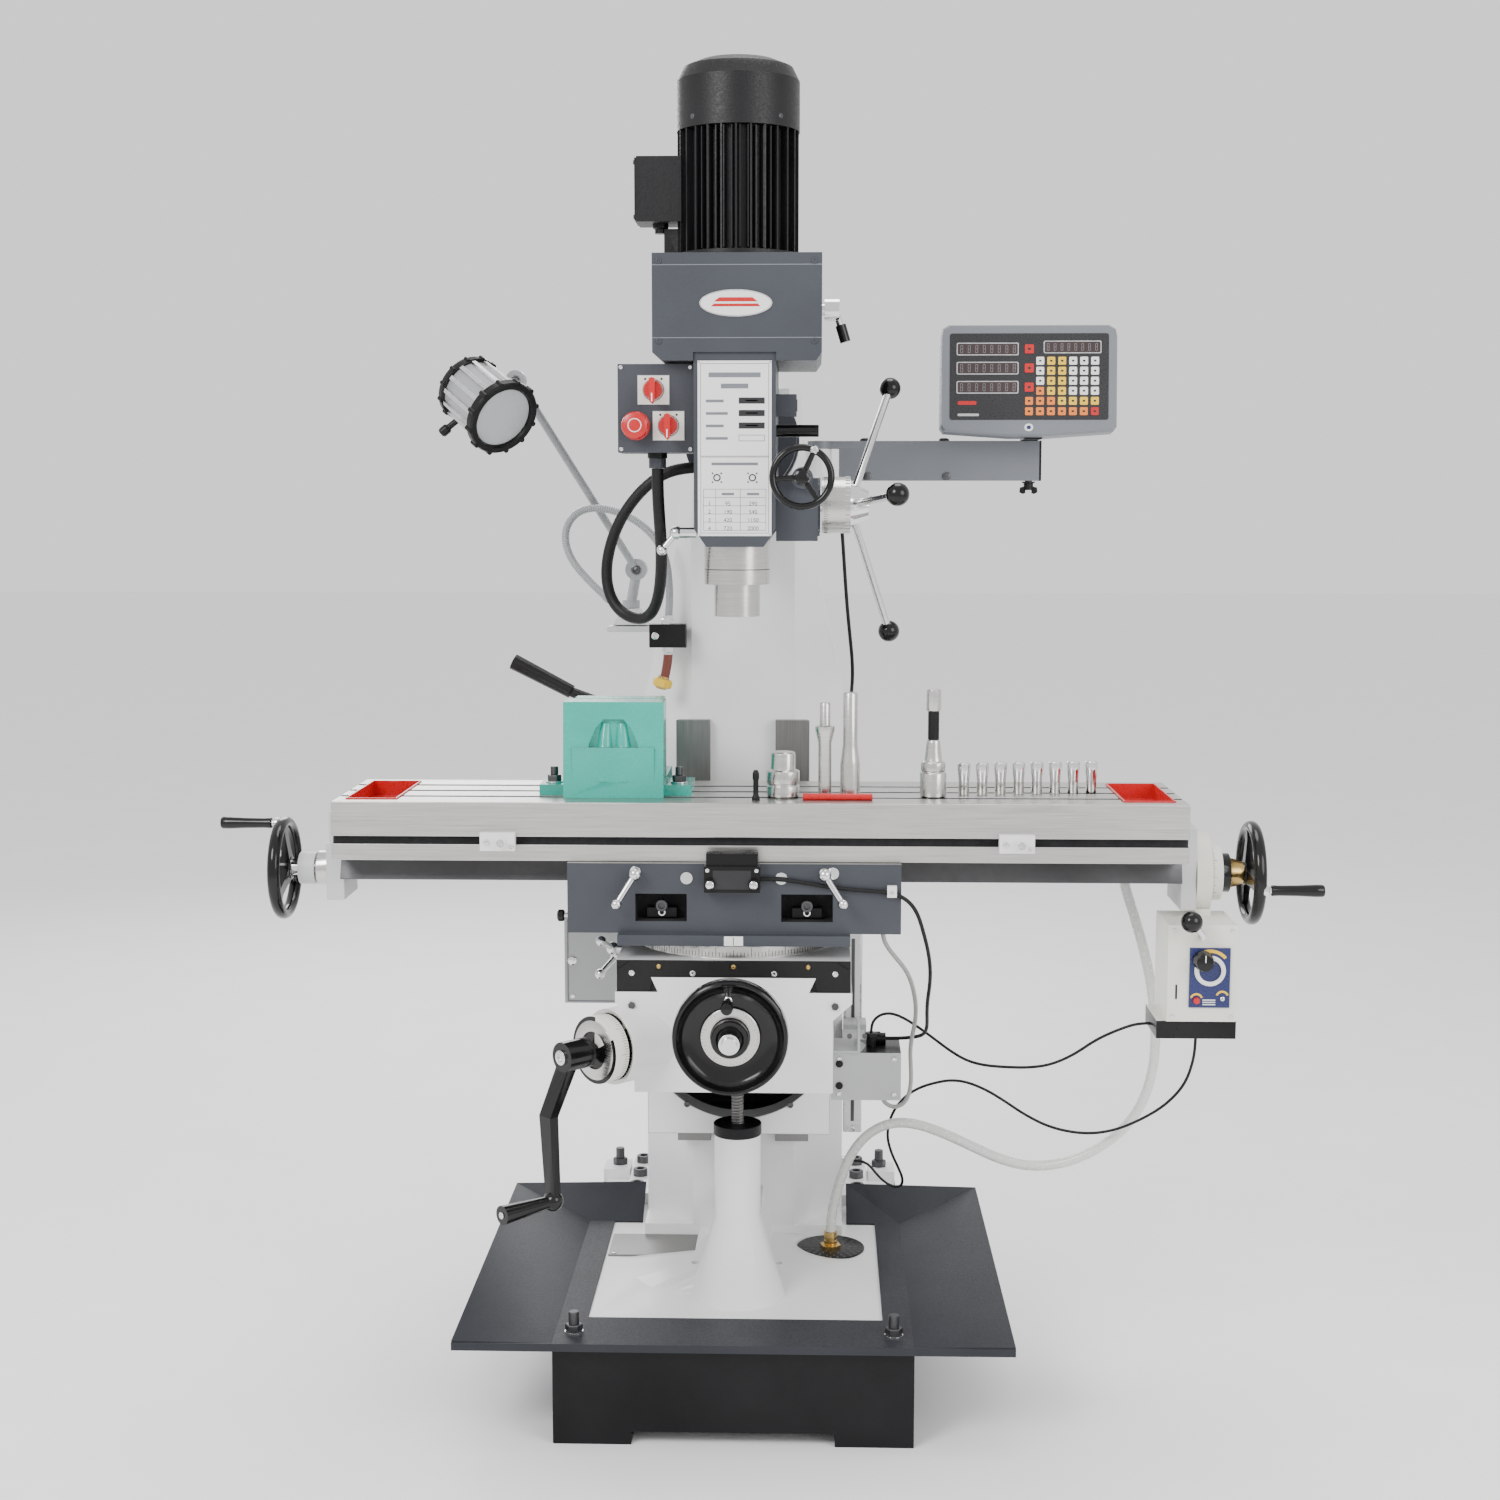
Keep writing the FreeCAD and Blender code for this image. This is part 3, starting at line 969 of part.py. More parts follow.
def spindle():
    nose = rod("z", (0, 0), ("nose_low", "quill_low - gap"), "nose_r")
    shaft = rod("z", (0, 0), ("quill_low - gap", "quill_top + 20"), "spindle_r")
    spline = rod("z", (0, 0), ("quill_top + 20", "spline_top"), "spline_r")
    taper = cone("z", (0, 0), ("nose_low", "nose_low + taper_deep"), ("taper_r", "taper_r - 5"))
    draw = rod("z", (0, 0), ("nose_low + taper_deep - 1", "spline_top + 1"), 6.5)
    dogs = [box((x, x + 8), (-7, 7), ("nose_low", "nose_low + 6")) for x in (-31, 23)]
    keep(cut(fuse(nose, shaft, spline), taper, draw, *dogs), "spindle")


def feed_handles():
    """Quill feed shaft with its pinion, dial and hub, and three levers with ball grips."""
    y, z = "pinion_y", "pinion_z"
    shaft = rod("x", (y, z), (-34, 196), 11)
    pinion = toothed("x", (S.pinion_y, S.pinion_z), (-13, 13), int(S.pinion_teeth), S.gear_module, math.pi)
    dial = rod("x", (y, z), ("head_x + 68", "head_x + 112"), 43)
    hub = cone("x", (y, z), ("head_x + 112", "head_x + 140"), (34, 22))
    parts = [shaft, pinion, dial, hub]
    for number in range(3):
        angle = math.radians(176 - 120 * number)
        lean, root = 60, 20
        out = V(0, math.cos(angle), math.sin(angle))
        start = V(176, S.pinion_y, S.pinion_z) + out * root
        end = V(176 + lean, S.pinion_y, S.pinion_z) + out * 222
        parts.append(straight(tuple(start), tuple(end), 6))
        parts.append(feature(Part.makeSphere(17, end)))
    keep(fuse(*parts), "feed_handles")


def fine_feed_wheel():
    rim = ring("y", (99, -170, 1437), 42, 5)
    spokes = [straight((99, -166, 1437), (99 + 42 * math.cos(a), -170, 1437 + 42 * math.sin(a)), 5)
              for a in (math.radians(65), math.radians(245))]
    hub = rod("y", (99, 1437), (-180, -152), 12)
    shaft = rod("y", (99, 1437), (-160, -36), 7)
    lean = math.radians(65)
    knob = rod("y", (99 + 42 * math.cos(lean), 1437 + 42 * math.sin(lean)), (-205, -170), 6)
    keep(fuse(rim, *spokes, hub, shaft, knob), "fine_feed_wheel")


def speed_selector():
    stem = rod("x", (0, 1687), ("gearbox_right - 16", "gearbox_right + 16"), 9)
    knob = rod("x", (0, 1687), ("gearbox_right + 4", "gearbox_right + 26"), 17)
    arm = straight((S.gearbox_right + 20, 0, 1687), (S.gearbox_right + 32, -4, 1650), 5)
    end = feature(Part.makeCylinder(8, 26, V(S.gearbox_right + 28, -4, 1664), V(0.3, 0, -1)))
    keep(fuse(stem, knob, arm, end), "speed_selector")


def switch_box():
    case = box((-173, "-head_x - gap"), (-75, 12), (1474, 1603))
    inside = box((-169, "-head_x - 5"), (-71, 8), (1478, 1599))
    spots = ((-120, 1565), (-98, 1513), (-146, 1513))
    holes = [rod("y", spot, (-80, -60), 6.1) for spot in spots]
    gland = rod("z", (-118, -30), (1452, 1474), 13)
    keep(fuse(cut(case, inside, *holes), gland), "switch_box")


def rotary_switch(x, z, node):
    knob = rod("y", (x, z), (-100, -78), 14)
    bar = box((x - 4, x + 4), (-112, -92), (z - 16, z + 16))
    stem = rod("y", (x, z), (-79, -64), 6)
    keep(fuse(knob, bar, stem), node)


def stop_button():
    head = rod("y", (-146, 1513), (-104, -92), 20)
    stem = rod("y", (-146, 1513), (-93, -62), 6)
    keep(fuse(head, stem), "stop_button")


# ---------------------------------------------------------------- readout and lamp
def readout_arm():
    x0 = "column_top_x + 30"
    bar = box((f"{x0} + 4", 489), ("arm_y - 12", "arm_y + 12"), (1489.3, 1502))
    bar_low = box((f"{x0} + 32", 489), ("arm_y - 12", "arm_y + 12"), (1437, 1489.3))
    pin = rod("z", (x0, "arm_y"), (1425, 1502), 9)
    pad = rod("z", (x0, "arm_y"), (1489.3, 1502), 20)
    post_hole = rod("z", (470, "arm_y"), (1430, 1510), "6 + fit")
    keep(cut(fuse(bar, bar_low, pin, pad), post_hole), "readout_arm")


def readout_console():
    case = prism("x", [(222, 1507), (268, 1500), (276, 1676), (238, 1686)], (318, 602))
    chin = box((455, 485), (246, "arm_y + 12"), (1502.3, 1520))
    post = rod("z", (470, "arm_y"), (1428, 1512), 6)
    wing = box((456, 484), ("arm_y - 3", "arm_y + 3"), (1414, 1428))
    keep(fuse(case, chin, post, wing), "readout_console")


LAMP_BASE = (-196, 396, 1196)
LAMP_ELBOW = (-181, 330, 1290)
LAMP_KNEE = (-352, 150, 1592)
LAMP_HEAD = (-400, 96, 1560)


def lamp_base():
    x, y, z = LAMP_BASE
    plate = box((x - 40, x + 50), (372, 420), (1182.3, 1192))
    stand = loft([(z - 2, [(x - 31, y - 24), (x + 31, y - 24), (x + 31, y + 24), (x - 31, y + 24)]),
                  (z + 26, [(x - 15, y - 14), (x + 15, y - 14), (x + 15, y + 14), (x - 15, y + 14)])])
    keep(fuse(plate, stand), "lamp_base")


def lamp_lower_arm():
    x, y, z = LAMP_BASE
    seat = straight((x, y, z + 26.3), (x, y, z + 40), 15)
    arm = straight((x, y, z + 34), (LAMP_ELBOW[0], LAMP_ELBOW[1] + 11, LAMP_ELBOW[2]), 9)
    ex, ey, ez = LAMP_ELBOW
    ear = straight((ex, ey + 1, ez), (ex, ey + 14, ez), 18)
    keep(fuse(seat, arm, ear), "lamp_lower_arm")


def lamp_upper_arm():
    ex, ey, ez = LAMP_ELBOW
    kx, ky, kz = LAMP_KNEE
    disc = straight((ex, ey - 13, ez), (ex, ey, ez), 18)
    arm = straight((ex, ey - 7, ez), (kx, ky - 1, kz), 6.5)
    knuckle = straight((kx, ky - 12, kz), (kx, ky, kz), 15)
    keep(fuse(disc, arm, knuckle), "lamp_upper_arm")


def lamp_head():
    kx, ky, kz = LAMP_KNEE
    disc = straight((kx, ky - 27, kz), (kx, ky - 13, kz), 15)
    facing = V(0.62, -0.62, -0.48).normalize()
    centre = V(*LAMP_HEAD)
    body = straight(tuple(centre - facing * 46), tuple(centre + facing * 52), 52)
    rim = straight(tuple(centre + facing * 50), tuple(centre + facing * 66), 60)
    hollow = straight(tuple(centre - facing * 34), tuple(centre + facing * 70), 46)
    neck = straight((kx, ky - 20, kz), tuple(centre), 9)
    handle = straight(tuple(centre), tuple(centre + V(-66, 6, -52)), 8)
    keep(cut(fuse(body, rim, neck, disc, handle), hollow), "lamp_head")


def coolant_gooseneck():
    block = box((-152, -92), (222, 252), (1166, 1204))
    mount = cut(box((-140, -104), (251, 312), (1172, 1198)), column_taper())
    neck = tube([(-122, 236, 1200), (-118, 236, 1262), (-126, 236, 1322), (-161, 236, 1366),
                 (-214, 236, 1392), (-265, 236, 1392), (-292, 236, 1358), (-284, 236, 1311),
                 (-243, 236, 1265), (-214, 236, 1240)], 6.5)
    nozzle = straight((-222, 236, 1247), (-208, 236, 1234), 5)
    hose = tube([(-122, 236, 1168), (-122, 236, 1148), (-126, 236, 1124), (-131, 236, 1101)], 8)
    valve = straight((-130, 236, 1114), (-134, 236, 1098), 17)
    keep(fuse(block, mount, neck, nozzle, hose, valve), "coolant_gooseneck")


# ---------------------------------------------------------------- cords
COOLANT_HOSE = [(604, 100, 857.7), (604.4, 100, 830), (611, 98, 794), (626, 92, 748), (641, 86, 696),
                (653, 80, 640), (659, 76, 586), (660, 74, 532), (652, 74, 482), (634, 76, 436),
                (604, 80, 398), (564, 88, 366), (516, 96, 344), (466, 108, 336), (420, 120, 344),
                (372, 134, 363), (326, 146, 381), (282, 158, 392), (244, 168, 389), (210, 180, 368),
                (184, 190, 334), (167, 198, 292), (155, 203, 248), (148.4, 205, 212), (148, 205, 190.5)]
FEED_CABLE = [(628.8, -60, 616), (611, -60, 616), (586, -54, 606), (552, -34, 584), (520, -12, 553),
              (487, 10, 531), (456, 30, 521), (424, 50, 516), (390, 70, 513), (362, 88, 516),
              (336, 106, 528), (312, 122, 543), (288, 135, 558), (265, 143, 571), (246, 146, 578),
              (230, 146, 577), (218, 146, 569), (212.4, 146, 558), (212, 146, 546.4)]
SUPPLY_CABLE = [(700, -50, 606.7), (700, -50, 584), (699, -40, 552), (691, -20, 510), (668, 10, 469),
                (635, 40, 436), (592, 58, 411), (548, 78, 400), (500, 104, 402), (461, 136, 414),
                (430, 156, 431), (400, 170, 446), (370, 182, 455), (344, 192, 455), (320, 200, 448),
                (296, 208, 438), (274, 214, 423), (257, 220, 402), (246, 228, 376), (242, 238, 344),
                (250, 250, 312), (262, 262, 284), (271, 275, 260), (270, 288, 243), (261, 302, 235),
                (248, 322, 233), (236, 344, 236), (226, 366, 241), (218, 384, 246), (208, 396, 249),
                (196, 400, 250), (182.4, 400, 250)]
SWITCH_CABLE = [(39.3, -146, 850), (70, -146, 850), (104, -146, 845), (144, -146, 838), (186, -146, 834),
                (224, -146, 832), (251, -144, 824), (270, -138, 803), (282, -122, 764), (291, -98, 727),
                (295, -68, 694), (296, -32, 664), (295, 4, 634), (296, 36, 608), (298, 64, 586),
                (299, 90, 567), (295, 114, 551), (283, 138, 541), (265, 154, 535), (250, 160, 533),
                (236.4, 160, 533)]
SCALE_CABLE = [(222, -62, 766.6), (222.5, -62, 746), (232, -50, 726), (246, -30, 706), (260, -2, 684),
               (270, 26, 660), (277, 52, 632), (281, 78, 604), (281, 102, 574), (277, 122, 546),
               (275, 138, 518), (277, 149, 490), (278, 155, 462), (275, 158, 440), (267, 159, 424),
               (253, 160, 417), (239, 160, 421), (230.5, 160, 432.5), (230, 160, 445.7)]
HEAD_CONDUIT = [(-60.5, 110, 1456), (-92, 110, 1455), (-128, 113, 1442), (-160, 118, 1415),
                (-188, 124, 1377), (-206, 128, 1334), (-213, 128, 1290), (-206, 124, 1252),
                (-186, 115, 1227), (-160, 98, 1218), (-138, 76, 1226), (-124, 50, 1252),
                (-117, 24, 1292), (-115, 0, 1336), (-116.5, -20, 1380), (-118, -30, 1422),
                (-118, -30, 1451.6)]
CONSOLE_CABLE = [(160, 316, 1436.7), (160, 316, 1412), (161, 314, 1376), (164.5, 310, 1330),
                 (168, 309, 1278), (172, 312, 1226), (177, 319, 1178), (181, 328, 1140),
                 (182, 338, 1112), (181, 352, 1088), (180, 372, 1071), (179, 396, 1063),
                 (178.5, 419.6, 1062)]


def cords():
    keep(tube(COOLANT_HOSE, 8, "coolant_hose"), "coolant_hose")
    keep(tube(FEED_CABLE, 2.3, "power_feed_cable"), "power_feed_cable")
    keep(tube(SUPPLY_CABLE, 2.3, "feed_supply_cable"), "feed_supply_cable")
    keep(tube(SWITCH_CABLE, 3, "switch_cable"), "switch_cable")
    keep(tube(SCALE_CABLE, 3.5, "scale_cable"), "scale_cable")
    keep(tube(HEAD_CONDUIT, 9, "head_conduit"), "head_conduit")
    keep(tube(CONSOLE_CABLE, 3, "console_cable"), "console_cable")


# ---------------------------------------------------------------- build
def build():
    base_plinth()
    base_casting()
    chip_tray()
    column()
    elevating_nut()
    base_fittings()
    column_electrics()
    knee()
    elevating_screw()
    knee_crank()
    cross_handwheel()
    cross_screw()
    junction_box()
    clamp_lever((-175.3, 40, 694), (-16, 0, 0), (-214, 4, 672), "knee_lock")
    saddle()
    clamp_lever((-173.3, -20, 718), (-18, 0, 0), (-206, -52, 736), "saddle_lock")
    swivel_carriage()
    limit_switch()
    clamp_lever((-145, -140.3, 858), (0, -14, 0), (-172, -166, 815), "table_lock_left")
    clamp_lever((134, -140.3, 858), (0, -14, 0), (161, -166, 817), "table_lock_right")
    finished_table()
    end_brackets()
    table_fittings()
    table_screw()
    table_handwheels()
    power_feed()
    power_feed_knob()
    power_feed_lever()
    vise_body()
    vise_jaw()
    vise_screw()
    head_casting()
    gearbox_housing()
    motor()
    motor_rotor()
    drive_sleeve()
    quill()
    spindle()
    feed_handles()
    fine_feed_wheel()
    clamp_lever((-60.3, -30, 1356), (-30, 0, 0), (-112, -30, 1330), "quill_lock")
    speed_selector()
    switch_box()
    rotary_switch(-120, 1565, "switch_upper")
    rotary_switch(-98, 1513, "switch_lower")
    stop_button()
    readout_arm()
    readout_console()
    lamp_base()
    lamp_lower_arm()
    lamp_upper_arm()
    lamp_head()
    coolant_gooseneck()
    cords()
    doc.recompute()


def problems():
    """Every object that failed, and every sub-part whose shape can't be handed on."""
    found = [f"{o.Label}: {o.State}" for o in doc.Objects if {"Invalid", "Error"} & set(o.State)]
    for obj in kept:
        if obj.Shape.isNull() or not obj.Shape.isValid() or not obj.Shape.Solids:
            found.append(f"{obj.Label}: bad shape")
    return found


build()
faults = problems()
if faults:
    raise SystemExit("\n".join(faults))
os.makedirs("parts", exist_ok=True)
for piece in kept:
    piece.Shape.exportStep(f"parts/{piece.Label}.step")
for name, (length, radii) in cord_radii.items():
    print(f"{name}: {length} mm, arc radii {radii}")
print(len(kept), "sub-parts")
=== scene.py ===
import bpy
import bmesh
import json
from math import asin, atan2, cos, hypot, pi, radians, sin, sqrt
from mathutils import Matrix, Vector

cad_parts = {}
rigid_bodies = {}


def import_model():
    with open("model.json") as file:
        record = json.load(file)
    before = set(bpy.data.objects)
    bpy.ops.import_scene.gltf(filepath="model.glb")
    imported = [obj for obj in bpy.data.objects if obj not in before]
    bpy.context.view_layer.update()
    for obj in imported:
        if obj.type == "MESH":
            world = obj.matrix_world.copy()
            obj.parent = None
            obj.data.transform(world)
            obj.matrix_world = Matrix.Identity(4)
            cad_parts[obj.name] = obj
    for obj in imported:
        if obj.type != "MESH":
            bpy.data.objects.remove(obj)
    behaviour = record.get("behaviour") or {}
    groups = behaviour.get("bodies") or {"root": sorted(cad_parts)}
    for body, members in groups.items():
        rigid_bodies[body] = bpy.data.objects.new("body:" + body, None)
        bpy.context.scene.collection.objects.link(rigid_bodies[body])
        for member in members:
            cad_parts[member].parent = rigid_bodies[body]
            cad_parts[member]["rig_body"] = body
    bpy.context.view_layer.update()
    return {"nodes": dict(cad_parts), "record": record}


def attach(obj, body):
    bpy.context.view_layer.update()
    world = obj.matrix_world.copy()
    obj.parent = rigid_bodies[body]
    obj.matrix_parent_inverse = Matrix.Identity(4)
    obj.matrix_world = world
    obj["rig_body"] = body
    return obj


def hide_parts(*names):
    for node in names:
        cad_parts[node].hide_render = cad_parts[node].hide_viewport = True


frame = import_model()
NODES = frame["nodes"]
SLOT = {s["node"]: s["material_slot"] for s in frame["record"]["subparts"]}
Y0 = -220.0     # the spindle's place along Y, in the row frame, in millimetres
RIGHT, LEFT, FRONT, UP, DOWN = (1, 0, 0), (-1, 0, 0), (0, -1, 0), (0, 0, 1), (0, 0, -1)
BLOCK_FACES = [(0, 1, 3, 2), (4, 6, 7, 5), (0, 4, 5, 1), (2, 3, 7, 6), (0, 2, 6, 4), (1, 5, 7, 3)]


def D(x, y, z):
    """A point given in millimetres from the spindle's axis and the floor, in the row frame."""
    return Vector((x, y + Y0, z)) / 1000


def design(p):
    """The same point the other way: millimetres from the spindle's axis."""
    return Vector((p.x * 1000, p.y * 1000 - Y0, p.z * 1000))


# ---------------------------------------------------------------- materials
def material(name, colour, rough, grain, bump, vary, metal=0.0, rough_vary=0.08, stretch=(1, 1, 1), coat=0.0,
             hammered=False, speck=0.0, **inputs):
    """A Principled material whose colour, roughness and bump vary over the surface."""
    m = bpy.data.materials.new(name)
    m.use_nodes = True
    nodes, link = m.node_tree.nodes, m.node_tree.links.new
    nodes.clear()

    def node(kind, **values):
        made = nodes.new("ShaderNode" + kind)
        for key, value in values.items():
            made.inputs[key.replace("_", " ")].default_value = value
        return made

    out = node("OutputMaterial")
    p = node("BsdfPrincipled", Metallic=metal, Coat_Weight=coat, Coat_Roughness=0.15, **inputs)
    link(p.outputs["BSDF"], out.inputs["Surface"])
    place, spread = node("TexCoord"), node("Mapping", Scale=stretch)
    link(place.outputs["Object"], spread.inputs["Vector"])
    fine = node("TexVoronoi", Scale=grain) if hammered else node("TexNoise", Scale=grain, Detail=5.0)
    link(spread.outputs["Vector"], fine.inputs["Vector"])
    height = fine.outputs["Distance" if hammered else 0]
    broad = node("TexNoise", Scale=5.5, Detail=4.0)
    link(place.outputs["Object"], broad.inputs["Vector"])
    dark = [c * (1 - vary) for c in colour]
    light = [min(1.0, c * (1 + vary * 0.6) + 0.004) for c in colour]
    tint = node("ValToRGB")
    for end, position, tone in zip(tint.color_ramp.elements, (0.34, 0.66), (dark, light)):
        end.position, end.color = position, (*tone, 1)
    link(broad.outputs[0], tint.inputs["Fac"])
    shade = tint.outputs["Color"]
    if speck or metal:
        streak = node("Mix")
        streak.data_type, streak.blend_type = "RGBA", "MULTIPLY"
        fade = node("MapRange", From_Min=0.3, From_Max=0.7, To_Min=1.0 - (speck or 0.12), To_Max=1.0)
        link(height, fade.inputs["Value"])
        streak.inputs[0].default_value = 1.0
        link(shade, streak.inputs[6])
        link(fade.outputs["Result"], streak.inputs[7])
        shade = streak.outputs[2]
    link(shade, p.inputs["Base Color"])
    gloss = node("MapRange", From_Min=0.3, From_Max=0.7, To_Min=max(0.03, rough - rough_vary),
                 To_Max=min(1.0, rough + rough_vary))
    link(height, gloss.inputs["Value"])
    link(gloss.outputs["Result"], p.inputs["Roughness"])
    ridge = node("Bump", Strength=bump, Distance=0.0006)
    link(height, ridge.inputs["Height"])
    link(ridge.outputs["Normal"], p.inputs["Normal"])
    return m


WHITE = material("cast_white_paint", (0.80, 0.81, 0.80), 0.36, 170, 0.35, 0.03, coat=0.25)
NAVY = material("blue_grey_paint", (0.043, 0.047, 0.058), 0.42, 200, 0.4, 0.10, coat=0.05,
                Specular_IOR_Level=0.35)
BLACK = material("black_paint", (0.004, 0.004, 0.005), 0.4, 190, 0.35, 0.2, Specular_IOR_Level=0.2)
MOTOR = material("motor_paint", (0.005, 0.005, 0.006), 0.42, 240, 0.5, 0.2, Specular_IOR_Level=0.3)
TRAY = material("tray_paint", (0.019, 0.021, 0.027), 0.55, 420, 0.5, 0.12, Specular_IOR_Level=0.3)
GREY = material("cabinet_paint", (0.42, 0.43, 0.43), 0.4, 300, 0.3, 0.04)
PALE = material("pale_grey_cast", (0.55, 0.56, 0.56), 0.45, 150, 0.5, 0.06)
GROUND = material("ground_steel", (0.60, 0.59, 0.57), 0.34, 3.0, 0.12, 0.06, metal=1.0,
                  stretch=(4, 260, 260), rough_vary=0.08, speck=0.16)
TURNED = material("turned_steel", (0.62, 0.61, 0.59), 0.24, 3.0, 0.10, 0.05, metal=1.0,
                  stretch=(6, 6, 420), rough_vary=0.06, speck=0.14)
CHROME = material("bright_chrome", (0.78, 0.78, 0.79), 0.12, 40, 0.03, 0.04, metal=1.0,
                  rough_vary=0.04, speck=0.05)
DARK = material("dark_steel", (0.10, 0.10, 0.105), 0.4, 90, 0.15, 0.2, metal=0.9)
PLASTIC = material("black_plastic", (0.004, 0.004, 0.004), 0.34, 300, 0.12, 0.2, Specular_IOR_Level=0.25)
GLOSSY = material("black_bakelite", (0.003, 0.003, 0.003), 0.14, 60, 0.04, 0.2,
                  rough_vary=0.03, coat=0.1, Specular_IOR_Level=0.3)
CREAM = material("cream_plastic", (0.74, 0.73, 0.66), 0.34, 400, 0.15, 0.03, coat=0.15)
IVORY = material("ivory_dial", (0.80, 0.79, 0.73), 0.35, 300, 0.08, 0.03)
RED = material("red_plastic", (0.50, 0.004, 0.006), 0.3, 200, 0.08, 0.08, coat=0.1)
TEAL = material("teal_hammered_paint", (0.010, 0.36, 0.28), 0.24, 150, 0.35, 0.14,
                hammered=True, coat=0.4)
ALU = material("aluminium", (0.74, 0.74, 0.75), 0.28, 90, 0.08, 0.06, metal=1.0)
LAMP = material("lamp_grey_paint", (0.30, 0.31, 0.32), 0.34, 220, 0.25, 0.06, coat=0.3)
DULL = material("dull_steel", (0.27, 0.265, 0.26), 0.4, 3.0, 0.12, 0.10, metal=1.0,
                stretch=(240, 240, 4), rough_vary=0.08, speck=0.25)
BRASS = material("brass", (0.62, 0.42, 0.15), 0.28, 80, 0.06, 0.12, metal=1.0)
RUBBER = material("black_rubber", (0.004, 0.004, 0.004), 0.5, 160, 0.15, 0.2, Specular_IOR_Level=0.3)
CABLE = material("grey_cable", (0.33, 0.33, 0.31), 0.45, 260, 0.2, 0.08)
HOSE = material("clear_hose", (0.80, 0.80, 0.77), 0.24, 120, 0.03, 0.03, coat=0.3,
                Transmission_Weight=0.25, IOR=1.42)
GLASS = material("lamp_glass", (0.75, 0.78, 0.80), 0.12, 90, 0.15, 0.05,
                 Transmission_Weight=0.45, IOR=1.45)
YELLOW = material("yellow_plastic", (0.80, 0.50, 0.02), 0.34, 200, 0.08, 0.08)
RUST = material("red_brown_hose", (0.16, 0.03, 0.018), 0.35, 160, 0.1, 0.15)
LABEL = material("white_label", (0.80, 0.80, 0.79), 0.32, 500, 0.04, 0.02)
INK = material("black_ink", (0.012, 0.012, 0.014), 0.4, 400, 0.03, 0.1)
SCREEN = material("display_window", (0.030, 0.012, 0.012), 0.12, 300, 0.02, 0.2, coat=0.5)
FACE = material("console_face", (0.014, 0.014, 0.016), 0.3, 500, 0.08, 0.15)
BLUE = material("navy_panel", (0.012, 0.018, 0.10), 0.3, 400, 0.05, 0.08)
ORANGE = material("orange_key", (0.78, 0.20, 0.015), 0.34, 400, 0.05, 0.05)
# Painted shade: a near-black matte colour laid on recesses, slots, vents and openings to stand for the shade
# inside them.
PAINTED_SHADE = material("recess_shadow", (0.012, 0.012, 0.014), 0.8, 120, 0.3, 0.3)
PATCH = material("grey_screen_frame", (0.16, 0.17, 0.19), 0.4, 300, 0.15, 0.05)


# ---------------------------------------------------------------- building blocks
def placed(name, data):
    """A new object in the scene."""
    obj = bpy.data.objects.new(name, data)
    bpy.context.scene.collection.objects.link(obj)
    return obj


def around(count, first=0.0, arc=360.0):
    """The cosine and sine of evenly spaced angles, in degrees."""
    angles = [radians(first + arc * k / count) for k in range(count)]
    return [(cos(a), sin(a)) for a in angles]


def skin(rows, n):
    """The faces of a closed tube: rows of n points each, with a cap at both ends."""
    faces = [tuple(range(n))[::-1], tuple(range((rows - 1) * n, rows * n))]
    for k in range(0, (rows - 1) * n, n):
        faces += [(k + j, k + (j + 1) % n, k + n + (j + 1) % n, k + n + j) for j in range(n)]
    return faces


def sharpen(obj, bevel, angle=32):
    """Smooth faces, sharp edges, and a fine rounding on every edge."""
    obj.data.polygons.foreach_set("use_smooth", [True] * len(obj.data.polygons))
    obj.data.set_sharp_from_angle(angle=radians(angle))
    if bevel:
        mod = obj.modifiers.new("edges", "BEVEL")
        mod.width, mod.segments = bevel, 2
        mod.limit_method, mod.angle_limit = "ANGLE", radians(angle)
        mod.use_clamp_overlap = True
        mod.harden_normals = True
    return obj


def dress(node, base, rules=(), bevel=0.0012, drop=None):
    """Shows a CAD node's own shape with clean faces; a rule gives a material to the faces it picks.
    Faces that drop picks are left out, where another piece takes their place."""
    source = NODES[node]
    bm = bmesh.new()
    bm.from_mesh(source.data)
    bmesh.ops.remove_doubles(bm, verts=bm.verts, dist=2e-6)
    bmesh.ops.dissolve_limit(bm, angle_limit=radians(0.6), verts=bm.verts, edges=bm.edges)
    bm.normal_update()
    mats = [base]
    if drop:
        gone = [f for f in bm.faces if drop(design(f.calc_center_median()), f.normal)]
        bmesh.ops.delete(bm, geom=gone, context="FACES")
    for face in bm.faces:
        centre = design(face.calc_center_median())
        for mat, test in rules:
            if test(centre, face.normal):
                if mat not in mats:
                    mats.append(mat)
                face.material_index = mats.index(mat)
    mesh = bpy.data.meshes.new(node + "_look")
    bm.to_mesh(mesh)
    bm.free()
    for mat in mats:
        mesh.materials.append(mat)
    obj = placed(node + "_look", mesh)
    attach(obj, source["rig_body"])
    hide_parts(node)
    return sharpen(obj, bevel)


